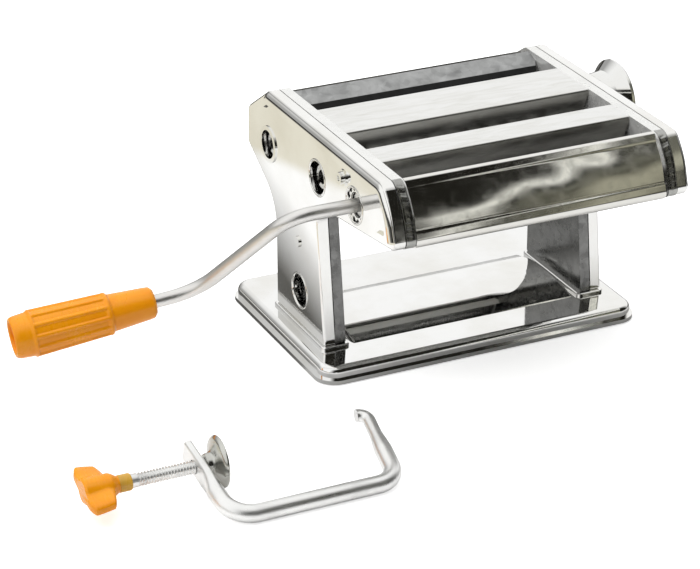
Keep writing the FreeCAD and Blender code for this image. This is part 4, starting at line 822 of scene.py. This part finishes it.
def stations(route: Sequence[Vector]) -> list[tuple[Vector, Vector, float]]:
    """Where each point of a bent sheet lies.

    Args:
        route: Points along the sheet.

    Returns:
        For each, the point, the direction out of the sheet and the distance along it.
    """
    found = []
    distance = 0.0
    for i, point in enumerate(route):
        if i:
            distance += (point - route[i - 1]).length
        ahead = route[min(i + 1, len(route) - 1)] - route[max(i - 1, 0)]
        found.append((point, ahead.normalized().cross(ALONG_X), distance))
    return found


def ease(value: float, start: float, end: float) -> float:
    """Smooth step.

    Args:
        value: What is looked up.
        start: Where the step starts.
        end: Where it ends.

    Returns:
        0 before the start, 1 past the end.
    """
    t = min(1.0, max(0.0, (value - start) / (end - start)))
    return t * t * (3 - 2 * t)


def joint_line(name: str) -> tuple[Vector, Vector]:
    """A joint's point in millimetres and its axis."""
    found = next(j for j in frame["joints"] if j["name"] == name)
    return Vector(found["pos_m"]) / MM, Vector(found["axis"]).normalized()


# Sub-assemblies


class Assembly:
    """A sub-assembly of the machine."""

    def build(self) -> list[str]:
        """Builds and dresses the pieces, and returns the names to log."""
        raise NotImplementedError


@dataclass
class BaseTray(Assembly):
    """Mirror tray with its rubber mat and hidden floor."""

    finish: Finish = Finishes.TRAY

    def build(self) -> list[str]:
        """Dresses the tray's nodes, and returns the names to log."""
        return (dress(self.finish, "base_plate") + dress(Finishes.INNER, "base_floor")
                + dress(Finishes.RUBBER, "rubber_mat") + dress(Finishes.PLAIN, "foot_screws"))


@dataclass
class SideHousing(Assembly):
    """Both side covers, the inner plates behind them and what is screwed through them."""

    flange_outline: Outline = ((-116.6, 147.0), (-120.5, 147.0), (-131.0, 134.0), (-138.0, 112.7),
                               (-122.0, 110.7))
    flange_radii: Triple = (8.0, 40.0, 5.0)
    flange_from: float = 80.9
    flange_to: float = 86.6
    flange_step: float = 0.4
    flange_columns: int = 14
    flange_sunk: float = 0.1
    rim_lift: float = 0.34
    rim_span: Pair = (0.1, 0.26)
    crimp_floor: float = 0.04
    crimp_depth: float = 0.26
    crimp_pitch: float = 4.2
    crimp_lean: float = 0.35
    crimp_sway: Pair = (1.4, 0.23)
    crimp_start: float = 4.0
    cover_x: float = 94.0
    hole_radius: float = 10.5
    middle_hole: Pair = (-35.0, 118.0)
    crank_hole: Pair = (-85.0, 120.5)
    clamp_hole: Pair = (-9.0, 34.6)
    lip_inset: float = 0.55
    lip_reach: float = 1.15
    teeth: int = 12
    tooth_depth: float = 1.35
    washer: tuple = ((1.5, 7.4, False), (1.2, 7.6, False), (1.2, 9.6, True), (1.5, 9.75, True),
                     (2.3, 9.75, True), (2.3, 7.4, False))

    def build(self) -> list[str]:
        """Dresses the housing and adds the crimped flanges and the rings of the holes.

        Returns:
            The names to log.
        """
        names = dress(Finishes.COVER, "left_side_cover", "right_side_cover")
        names += dress(Finishes.INNER, "left_inner_plate", "right_inner_plate")
        names += dress(Finishes.TRIM, "rear_socket_ring", "cover_screws", "leg_rivets")
        names += dress(Finishes.PLAIN, "tie_rods", "tie_screws", "cover_spacers")
        names += dress(Finishes.BUSH, "left_bushes", "right_bushes", "dial_bush")
        made = [self.crimp("left", -1.0), self.crimp("right", 1.0), self.toothed_ring(),
                self.lip("hole_lip_1", self.middle_hole, 0.45, 1.3),
                self.lip("hole_lip_2", self.crank_hole, 0.45, 1.3),
                self.lip("clamp_hole_lip", self.clamp_hole, 0.5, 2.6)]
        return names + [piece.name for piece in made]

    def crimp(self, label: str, side: float) -> bpy.types.Object:
        """Crimped strip on an inner plate's flange, in the seam beside the front cover.

        Args:
            label: Which side of the machine, for the piece's name.
            side: -1 on the left, 1 on the right.

        Returns:
            The strip.
        """
        rings = []
        for point, outward, distance in stations(round_route(self.flange_outline, self.flange_radii,
                                                             self.flange_step)):
            ring = [point + ALONG_X * (side * self.flange_from) - outward * self.flange_sunk]
            for k in range(self.flange_columns + 1):
                share = k / self.flange_columns
                x = self.flange_from + (self.flange_to - self.flange_from) * share
                ring.append(point + ALONG_X * (side * x) + outward * self.crimp_height(share, distance))
            ring.append(point + ALONG_X * (side * self.flange_to) - outward * self.flange_sunk)
            rings.append(ring)
        return Shape().loft(rings).object(f"{label}_crimped_flange", Finishes.CRIMP, "frame", sharp=60.0)

    def crimp_height(self, share: float, distance: float) -> float:
        """Height of the strip over the flange.

        Args:
            share: Place as a share of its width.
            distance: Place along it.

        Returns:
            The height.
        """
        sway, rate = self.crimp_sway
        rim = 1.0 - ease(min(share, 1.0 - share), *self.rim_span)
        phase = FULL_TURN * (distance / self.crimp_pitch + self.crimp_lean * share)
        wave = 0.5 + 0.35 * math.sin(phase + sway * math.sin(distance * rate)) + 0.15 * math.sin(2.3 * phase)
        full = self.crimp_floor + (self.rim_lift - self.crimp_floor) * rim
        full += self.crimp_depth * wave * (1.0 - rim)
        return full * ease(distance, 0.0, self.crimp_start)

    def lip(self, name: str, place: Pair, proud: float, depth: float) -> bpy.types.Object:
        """Rolled edge of a hole in the left cover.

        Args:
            name: The piece's name.
            place: The hole's y and height.
            proud: How far the roll stands off the cover.
            depth: How far it runs into the hole.

        Returns:
            The ring.
        """
        wall = self.hole_radius - 0.02
        inner = self.hole_radius - self.lip_inset
        outer = self.hole_radius + self.lip_reach
        ring = smooth_profile([(depth, wall), (depth, inner + 0.25), (0.4, inner), (-proud, inner + 0.7),
                               (-proud, outer - 0.6), (-0.02, outer), (-0.02, wall)], 0.9, 6)
        shape = lathe(ring + [ring[0]], ALONG_X, Vector((-self.cover_x, *place)), 120)
        return shape.object(name, Finishes.TRIM, "frame", sharp=40.0)

    def tooth(self, angle: float) -> float:
        """How far the washer's toothed edge lies inside its full radius at an angle."""
        return self.tooth_depth * (ease(math.cos(self.teeth * angle), -0.25, 0.25) - 1.0)

    def toothed_ring(self) -> bpy.types.Object:
        """Bright toothed washer round the crank, just inside its hole.

        Returns:
            The washer.
        """
        at = around(ALONG_X, Vector((-self.cover_x, *self.crank_hole)))
        rings = [[at(depth, radius + self.tooth(a) if toothed else radius, a) for a in turn_angles(240)]
                 for depth, radius, toothed in self.washer]
        shape = Shape().loft(rings, looped=True)
        return shape.object("crank_hole_washer", Finishes.TRIM, "frame", sharp=35.0)


@dataclass(frozen=True)
class Dent:
    """A shallow round dent: its place and half size across and along the sheet, and its depth."""

    x: float
    along: float
    half_x: float
    half_along: float
    depth: float


@dataclass
class FeedHead(Assembly):
    """Guides over the three slots, with the dented front cover and the rear cover."""

    half_length: float = 79.9
    columns: int = 140
    step: float = 0.5
    sheet: float = 0.95
    outline: Outline = ((-103.0, 140.5), (-117.0, 147.0), (-119.47, 147.0), (-130.29, 133.61),
                        (-137.24, 112.45), (-129.0, 110.0))
    radii: tuple[float, ...] = (1.6, 1.4, 40.0, 5.0)
    hem_at: float = 22.0
    hem_depth: float = 0.35
    hem_end: Pair = (46.0, 49.0)
    lip_at: float = 47.5
    lip_depth: float = 0.3
    lip_width: float = 0.55
    dent_lean: float = 0.16
    dents: tuple[Dent, ...] = (
        Dent(-58.0, 36.0, 24.0, 8.0, 0.09), Dent(-28.0, 28.0, 24.0, 7.0, 0.1),
        Dent(4.0, 34.0, 20.0, 8.5, 0.13), Dent(32.0, 27.0, 16.0, 6.0, 0.09),
        Dent(50.0, 38.0, 24.0, 8.0, 0.12), Dent(68.0, 28.0, 16.0, 7.0, 0.08))

    def build(self) -> list[str]:
        """Dresses the sheet guides and builds the front cover.

        Returns:
            The names to log.
        """
        names = dress(Finishes.FEED, "rear_feed_plate")
        names += dress(Finishes.GUIDE, "middle_top_guide", "front_top_guide", "rear_cover")
        cover = self.front_cover()
        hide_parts("front_cover")
        return names + [cover.name]

    def sunk(self, x: float, distance: float) -> float:
        """How far the front cover's face lies behind its plain form.

        Args:
            x: Place across the machine.
            distance: Place along the sheet.

        Returns:
            The depth.
        """
        inside = ease(distance, self.hem_at, self.hem_at + 1.0) * (1.0 - ease(distance, *self.hem_end))
        depth = self.hem_depth * inside
        depth += self.lip_depth * math.exp(-((distance - self.lip_at) / self.lip_width) ** 2)
        for dent in self.dents:
            across = (x - dent.x) / dent.half_x
            along = (distance - dent.along - self.dent_lean * (x - dent.x)) / dent.half_along
            depth += inside * dent.depth * math.exp(-across ** 2 - along ** 2)
        return depth

    def front_cover(self) -> bpy.types.Object:
        """Thin bent sheet with a hem along its top, shallow dents and a folded lip.

        Returns:
            The cover.
        """
        places = stations(round_route(self.outline, self.radii, self.step))
        rings = []
        for k in range(self.columns + 1):
            x = self.half_length * (2 * k / self.columns - 1)
            outside = [point + ALONG_X * x - outward * self.sunk(x, distance)
                       for point, outward, distance in places]
            inside = [surface - outward * self.sheet for surface, (_, outward, _) in zip(outside, places)]
            rings.append(outside + inside[::-1])
        return Shape().loft(rings).object("dented_front_cover", Finishes.FRONT, "frame", sharp=40.0)


class RollerTrain(Assembly):
    """Rollers, cutters, gears, scrapers and combs inside the head."""

    def build(self) -> list[str]:
        """Dresses the moving train.

        Returns:
            The names to log.
        """
        names = dress(Finishes.ROLLER, "drive_roller", "adjustable_roller", "wide_cutter",
                      "wide_cutter_partner", "narrow_cutter", "narrow_cutter_partner")
        names += dress(Finishes.GEAR, "drive_roller_gear", "adjustable_roller_gear", "wide_cutter_gear",
                       "wide_partner_gear", "narrow_cutter_gear", "narrow_partner_gear")
        names += dress(Finishes.COMB, "rear_scraper", "front_scraper", "wide_combs", "narrow_combs")
        return names + dress(Finishes.PLAIN, "roller_carriage")


class GapDial(Assembly):
    """Dished knob with its cam, pin and return spring."""

    def build(self) -> list[str]:
        """Dresses the knob and what is inside it, and returns the names to log."""
        return (dress(Finishes.KNOB, "gap_knob")
                + dress(Finishes.PLAIN, "dial_cam", "knob_pin", "knob_retainer", "knob_spring"))


@dataclass
class Crank(Assembly):
    """Bent rod with the fluted orange grip that spins on it."""

    length: float = 84.5
    bore: float = 4.18
    mouth_radius: float = 6.6
    marks: Outline = ((0.0, 7.4), (0.4, 7.8), (1.5, 9.2), (5.0, 9.6), (26.2, 11.05), (26.9, 12.1),
                      (27.8, 12.65), (72.5, 14.05), (73.3, 13.7), (74.1, 13.0), (82.0, 12.4), (83.8, 11.8),
                      (84.5, 11.1))
    hollow: Outline = ((84.5, 10.4), (84.3, 9.9), (83.6, 9.4), (79.6, 9.0), (79.3, 3.0), (79.3, 0.0))
    rings: int = 150
    close_rings: tuple[float, ...] = (0.2, 0.7, 1.1, 26.4, 26.65, 27.1, 27.5, 72.7, 73.0, 73.6, 83.2, 84.2)
    flutes: int = 12
    flute_start: Pair = (28.0, 30.6)
    flute_end: Pair = (71.3, 72.7)
    flute_edge: Pair = (-0.98, -0.1)
    flute_depth: float = 0.95

    def build(self) -> list[str]:
        """Builds the grip and dresses the rod.

        Returns:
            The names to log.
        """
        names = dress(Finishes.ROD, "crank_rod") + dress(Finishes.PLAIN, "crank_pin", "grip_collar")
        grip = self.grip()
        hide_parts("crank_grip", "grip_plug")
        return names + [grip.name]

    def radius(self, s: float) -> float:
        """Outer radius of the grip's solid form.

        Args:
            s: Distance from the rod's side.

        Returns:
            The radius.
        """
        for (s0, r0), (s1, r1) in zip(self.marks, self.marks[1:]):
            if s <= s1:
                return r0 + (r1 - r0) * (s - s0) / (s1 - s0)
        return self.marks[-1][1]

    def flute(self, s: float, angle: float) -> float:
        """Height of the surface over the solid form, which is negative in a flute.

        Args:
            s: Distance from the rod's side.
            angle: Angle round the grip.

        Returns:
            The height.
        """
        share = ease(s, *self.flute_start) * (1 - ease(s, *self.flute_end))
        return -self.flute_depth * share * ease(math.cos(self.flutes * angle), *self.flute_edge)

    def grip(self) -> bpy.types.Object:
        """The moulded grip with its hollow end.

        Returns:
            The grip.
        """
        centre, axis = joint_line("grip_spin")
        out = -axis
        start = centre - out * (self.length / 2)
        places = {i * self.length / self.rings for i in range(self.rings + 1)}.union(self.close_rings)
        profile = [(0.0, self.bore), (0.0, self.mouth_radius)] + [(s, self.radius(s)) for s in sorted(places)]
        shape = lathe(profile + smooth_profile(self.hollow, 0.5), out, start, 192, self.flute)
        return shape.object("crank_grip_moulding", Finishes.GRIP, "grip", sharp=50.0)


@dataclass
class TableClamp(Assembly):
    """Loose clamp: bent bar, threaded screw with its pad, and the orange wing knob."""

    axis_place: Pair = (-150.43, 15.84)
    pad_x: float = -214.8
    knob_x: float = -257.8
    screw_depth: float = 10.0
    screw_radius: float = 3.98
    tip_radius: float = 3.4
    head: Outline = ((0.0, 3.0), (5.4, 3.0), (5.4, 4.5), (5.9, 4.4), (6.4, 3.6), (6.6, 2.0), (6.6, 0.0))
    head_gap: float = 0.3
    thread_gaps: Pair = (3.2, 1.6)
    thread_runout: float = 1.5
    thread_step: float = 0.16
    thread_depth: float = 0.85
    pitch: float = 1.75
    pad_outline: Outline = ((0.0, 3.3), (0.0, 5.6), (0.5, 6.0), (3.4, 6.3), (5.0, 9.0), (6.6, 13.6),
                            (8.4, 14.9), (9.25, 14.6), (8.3, 13.4), (6.2, 9.0), (4.9, 6.4), (4.8, 3.3))
    collar_outline: Outline = ((0.0, 4.05), (0.0, 4.4), (-0.6, 4.85), (-6.4, 4.88), (-7.2, 4.88),
                               (-7.2, 4.05))
    wing_start: float = 7.0
    knob_length: float = 27.5
    wing_rings: int = 60
    hub_neck: float = 4.6
    hub_radius: float = 7.3
    hub_cone: Pair = (6.6, 12.6)
    wing_span: float = 18.1
    wing_half_thickness: float = 3.5
    wing_rise: Pair = (10.2, 15.4)
    wing_fall: Pair = (3.4, 1.2)
    wing_power: float = 4.5
    root_power: int = 7
    tilt: float = 9.0
    twist: float = 10.0

    def build(self) -> list[str]:
        """Builds the clamp's pieces.

        Returns:
            The names to log.
        """
        names = dress(Finishes.CLAMP, "clamp_frame")
        screw = self.screw()
        pad = self.pad()
        collar = self.collar()
        wings = self.wings()
        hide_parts("clamp_screw")
        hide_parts("clamp_pad")
        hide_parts("clamp_wing_knob")
        return names + [screw.name, pad.name, collar.name, wings.name]

    def start(self, x: float) -> Vector:
        """Point of the screw's axis at a place across the machine."""
        return Vector((x, *self.axis_place))

    def thread(self, s: float, angle: float) -> float:
        """Height of the screw's surface over its crests, which is negative in the thread.

        Args:
            s: Distance from the screw's end in the knob.
            angle: Angle round the screw.

        Returns:
            The height.
        """
        x = self.knob_x - self.screw_depth + s
        first = self.knob_x + self.thread_gaps[0]
        last = self.pad_x - self.thread_gaps[1]
        share = ease(x, first, first + self.thread_runout) * (1.0 - ease(x, last - self.thread_runout, last))
        turn = s / self.pitch + angle / FULL_TURN
        return -self.thread_depth * share * (0.5 + 0.5 * math.cos(FULL_TURN * turn)) ** 0.8

    def screw(self) -> bpy.types.Object:
        """Screw with a true helical thread, its neck and the rivet head in the pad.

        Returns:
            The screw.
        """
        foot = self.knob_x - self.screw_depth
        end = self.pad_x - self.head_gap - foot
        steps = int(end / self.thread_step)
        profile = [(0.0, 0.0), (0.0, self.tip_radius)]
        profile += [(end * i / steps, self.screw_radius) for i in range(steps + 1)]
        profile += [(end + s, radius) for s, radius in self.head]
        shape = lathe(profile, ALONG_X, self.start(foot), 64, self.thread)
        return shape.object("clamp_screw_thread", Finishes.CLAMP, "screw", sharp=50.0)

    def pad(self) -> bpy.types.Object:
        """Pressed pad with a soft dish and a turned-over rim.

        Returns:
            The pad.
        """
        profile = smooth_profile(self.pad_outline, 1.6, 7)
        shape = lathe(profile + [profile[0]], ALONG_X, self.start(self.pad_x), 128)
        return shape.object("clamp_pressed_pad", Finishes.PAD, "pad", sharp=60.0)

    def collar(self) -> bpy.types.Object:
        """Round collar moulded between the wings and the thread.

        Returns:
            The collar.
        """
        profile = smooth_profile(self.collar_outline, 0.4)
        shape = lathe(profile + [profile[0]], ALONG_X, self.start(self.knob_x), 96)
        return shape.object("clamp_knob_collar", Finishes.COLLAR, "screw", sharp=45.0)

    def wings(self) -> bpy.types.Object:
        """Hub with two rounded wings that twist a little towards their end.

        Returns:
            The moulding.
        """
        far_end = self.knob_length
        run = far_end - self.wing_start
        places = [self.wing_start + run * i / self.wing_rings for i in range(self.wing_rings + 1)]
        rings = []
        for s in sorted(places + [far_end - 0.05, far_end - 0.25]):
            hub = self.hub_at(s)
            span, thick = self.wing_at(s)
            lean = math.radians(self.tilt + self.twist * (ease(s, 8.0, far_end) - 0.5))
            ring = []
            for a in turn_angles(96):
                r = self.joined(hub, self.wing_radius(a, span, thick))
                direction = Vector((0.0, math.cos(a + lean), math.sin(a + lean)))
                ring.append(self.start(self.knob_x - s) + direction * r)
            rings.append(ring)
        return Shape().loft(rings).object("clamp_wing_moulding", Finishes.WING, "screw", sharp=50.0)

    def joined(self, hub: float, wing: float) -> float:
        """Radius where hub and wing meet in a soft fillet."""
        power = self.root_power
        return (hub ** power + wing ** power) ** (1 / power) if wing > 0 else hub

    def hub_at(self, s: float) -> float:
        """Radius of the hub.

        Args:
            s: Distance from the knob's end near the arm.

        Returns:
            The radius.
        """
        cone = ease(s, *self.hub_cone)
        end = 1.0 - 0.16 * ease(s, self.knob_length - 1.6, self.knob_length) ** 2
        return (self.hub_neck + (self.hub_radius - self.hub_neck) * cone) * end

    def wing_at(self, s: float) -> Pair:
        """Size of the wings at the same distance.

        Args:
            s: Distance from the knob's end near the arm.

        Returns:
            Their half span and half thickness.
        """
        rise = ease(s, *self.wing_rise)
        fall = ease(s, self.knob_length - self.wing_fall[0], self.knob_length + self.wing_fall[1])
        span = self.wing_span * (rise ** 0.5) * (1.0 - 0.35 * fall ** 2)
        thick = self.wing_half_thickness * (0.55 + 0.45 * rise) * (1.0 - 0.3 * fall ** 2)
        return span, thick

    def wing_radius(self, angle: float, span: float, thick: float) -> float:
        """Radius of the wings' rounded section in a direction.

        Args:
            angle: The direction.
            span: Half span.
            thick: Half thickness.

        Returns:
            The radius, 0 where there is no wing.
        """
        if span <= 0.0:
            return 0.0
        c, s = abs(math.cos(angle)) / span, abs(math.sin(angle)) / thick
        return (c ** self.wing_power + s ** self.wing_power) ** (-1 / self.wing_power)


# Studio


@dataclass(frozen=True)
class Streak:
    """A slanted band of light in the dark side: its height, half width and colour."""

    level: float
    width: float
    colour: Triple


@dataclass
class Studio(Assembly):
    """Pale floor, soft light and the camera of the photograph."""

    lens: float = 140.1
    sensor: float = 36.0
    clip: Pair = (0.05, 60.0)
    camera_place: Triple = (-695.9, -1351.9, 739.4)
    forward: Triple = (0.386, 0.816, -0.430)
    lamp_place: Triple = (-0.5, 0.1, 1.5)
    lamp_size: float = 1.6
    lamp_power: float = 13.0
    floor_half: float = 9.0
    floor_glow: float = 0.6
    floor_roughness: float = 0.75
    floor_specular: float = 0.2
    # Paper: the camera sees its plain tones, reflections see the others, among them a painted shadow of the
    # machine and a painted contact shadow round the base. Places in metres
    paper_tones: tuple[Triple, Triple] = ((0.93, 0.93, 0.93), (0.9, 0.9, 0.9))
    warm_paper: Triple = (0.7, 0.67, 0.57)
    warm_slope: Pair = (0.31, 0.95)
    warm_span: Pair = (0.259, 0.271)
    # Painted shadow of the machine on the paper, then a painted contact shadow round the base
    shaded_paper: Triple = (0.03, 0.028, 0.022)
    shade_level: float = 0.93
    shade_slope: float = 0.168
    shade_x: Pair = (-0.145, -0.11)
    shade_y: Pair = (-0.065, -0.035)
    contact_shadow_level: float = 0.55
    contact_shadow_reach: float = 0.03
    base_half: Pair = (0.107, 0.071)
    dim_room: Triple = (0.05, 0.048, 0.044)
    dim_span: Pair = (0.75, 1.25)
    open_x: Pair = (0.0, 0.3)
    open_y: Pair = (0.3, 0.6)
    # Room: what reflections see in each direction from the machine
    daylight: float = 1.0
    bright_wall: Triple = (1.0, 1.0, 0.99)
    dark_wall: Triple = (0.013, 0.0125, 0.01)
    dark_side: Triple = (0.39, -0.92, 0.0)
    dark_ahead: Pair = (0.2, 0.62)
    dark_height: Pair = (0.74, 0.92)
    skirting_height: Pair = (0.05, 0.16)
    right_side: Pair = (0.1, 0.25)
    rear_side: Pair = (0.3, 0.6)
    dusk_side: Pair = (0.0, 0.34)
    dusk_height: Pair = (0.3, 0.62)
    dusk_level: float = 0.62
    streak_slope: float = 12.0
    streak_start: float = 0.417
    streak_core: float = 0.35
    streaks: tuple[Streak, ...] = (
        Streak(0.05, 0.13, (1.0, 1.0, 0.93)),
        Streak(-0.26, 0.07, (0.2, 0.2, 0.16)),
        Streak(-0.6, 0.26, (0.4, 0.39, 0.3)),
    )

    def build(self) -> list[str]:
        """Builds the floor, the surroundings, the lamp and the camera.

        Returns:
            The names to log.
        """
        bpy.context.scene.view_settings.view_transform = "Standard"
        self.camera()
        self.floor()
        self.surroundings()
        self.lamp()
        return ["floor", "light", "camera"]

    def camera(self) -> None:
        """Sets the camera as the photograph was taken."""
        data = bpy.data.cameras.new("photo_camera")
        data.sensor_fit = "HORIZONTAL"
        data.sensor_width = self.sensor
        data.lens = self.lens
        data.clip_start, data.clip_end = self.clip
        holder = add_object("photo_camera", data)
        ahead = Vector(self.forward).normalized()
        right = ahead.cross(UPWARD).normalized()
        turn = Matrix((right, right.cross(ahead), -ahead)).transposed().to_4x4()
        turn.translation = Vector(self.camera_place) * MM
        holder.matrix_world = turn
        bpy.context.scene.camera = holder

    def lamp(self) -> None:
        """A large square lamp over the machine, which reflections don't show."""
        data = bpy.data.lights.new("overhead_softbox", "AREA")
        data.size = self.lamp_size
        data.energy = self.lamp_power
        holder = add_object("overhead_softbox", data)
        holder.location = self.lamp_place
        holder.rotation_euler = (-Vector(self.lamp_place)).to_track_quat("-Z", "Y").to_euler()
        holder.visible_glossy = False

    def floor(self) -> None:
        """Pale floor, whose far part is dim in reflections, and which shows reflections painted shadows near
        the machine.
        """
        shape = Shape()
        half = self.floor_half / MM
        corners = ((-1, -1), (1, -1), (1, 1), (-1, 1))
        shape.faces.append(tuple(shape.ring(Vector((x * half, y * half, 0.0)) for x, y in corners)))
        mesh = shape.mesh("floor")
        mesh.materials.append(self.paper())
        floor = add_object("floor", mesh)

    def paper(self) -> bpy.types.Material:
        """White paper that polished steel sees end in a dim room, with the machine's shadow and a contact
        shadow round the base painted on it.

        Returns:
            The floor's material.
        """
        g = Graph("pale_floor")
        x, y, _ = g.axes(g.spot)
        white = g.blend(g.spread(g.noise(6.0), 0.0, 0.25), *self.paper_tones)
        warm_y, warm_x = self.warm_slope
        warmth = g.spread(g.difference(g.product(y, warm_y), g.product(x, warm_x)), 0.0, 1.0, self.warm_span)
        # Painted shadow of the machine, falling to its left and rear, seen only in reflections
        beside = g.math("ADD", x, g.product(y, self.shade_slope))
        shade = g.product(g.spread(beside, 0.0, self.shade_level, self.shade_x),
                          g.spread(y, 0.0, 1.0, self.shade_y))
        # Painted contact shadow along the base, seen only in reflections
        off_base = g.math("MAXIMUM", *(g.difference(g.math("ABSOLUTE", place), half)
                                       for place, half in zip((x, y), self.base_half)))
        contact_shadow = g.spread(off_base, self.contact_shadow_level, 0.0, (0.0, self.contact_shadow_reach))
        near = g.blend(g.math("MAXIMUM", shade, contact_shadow), g.blend(warmth, white, self.warm_paper),
                       self.shaded_paper)
        behind = g.product(g.spread(x, 0.0, 1.0, self.open_x), g.spread(y, 0.0, 1.0, self.open_y))
        far = g.node("VectorMath", Vector=g.spot)
        far.operation = "LENGTH"
        outer = g.spread(far.outputs["Value"], 0.0, 1.0, self.dim_span)
        dim = g.blend(g.product(outer, g.difference(1.0, behind)), near, self.dim_room)
        seen = g.camera_sees()
        g.set(Base_Color=g.blend(seen, dim, white), Roughness=self.floor_roughness,
              Specular_IOR_Level=self.floor_specular, Emission_Color=(*WHITE, 1.0),
              Emission_Strength=g.product(seen, self.floor_glow))
        return g.material

    def surroundings(self) -> None:
        """White room, with a dim skirting and a dark side in front of the machine."""
        world = bpy.data.worlds.new("studio_room")
        bpy.context.scene.world = world
        world.use_nodes = True
        t = Tree(world.node_tree)
        ray = t.node("TexCoord").outputs["Generated"]
        x, y, height = t.axes(ray)
        front = t.node("VectorMath")
        front.operation = "DOT_PRODUCT"
        t.feed(front.inputs[0], ray)
        t.feed(front.inputs[1], self.dark_side)
        ahead = t.spread(front.outputs["Value"], 0.0, 1.0, self.dark_ahead)
        below = t.spread(height, 1.0, 0.0, self.dark_height)
        rearward = t.spread(y, 0.0, 1.0, self.rear_side)
        behind = t.product(t.spread(x, 0.0, 1.0, self.right_side), rearward)
        low = t.spread(t.math("ABSOLUTE", height), 1.0, 0.0, self.skirting_height)
        skirting = t.product(low, t.difference(1.0, behind))
        darkness = t.math("MAXIMUM", t.product(ahead, below), skirting)
        rear = t.product(rearward, t.spread(x, 1.0, 0.0, self.dusk_side))
        dusk = t.product(t.product(rear, t.spread(height, 1.0, 0.0, self.dusk_height)), self.dusk_level)
        lit = t.blend(t.math("MAXIMUM", darkness, dusk), self.bright_wall, self.dark_wall)
        across = t.product(t.difference(x, self.streak_start), self.streak_slope)
        for streak in self.streaks:
            offset = t.math("ABSOLUTE", t.difference(height, t.math("ADD", across, streak.level)))
            edge = t.spread(offset, 1.0, 0.0, (streak.width * self.streak_core, streak.width))
            lit = t.blend(t.product(edge, ahead), lit, streak.colour)
        background = t.tree.nodes["Background"]
        t.feed(background.inputs["Color"], t.blend(t.camera_sees(), lit, WHITE))
        background.inputs["Strength"].default_value = self.daylight


def main() -> None:
    """Builds the machine, then the studio round it."""
    logging.basicConfig(level=logging.INFO, format="%(name)s: %(message)s")
    for assembly in (BaseTray(), SideHousing(), FeedHead(), RollerTrain(), GapDial(), Crank(), TableClamp(),
                     Studio()):
        for piece in assembly.build():
            LOG.info("%s: %s", type(assembly).__name__, piece)


if __name__ == "__main__":
    main()
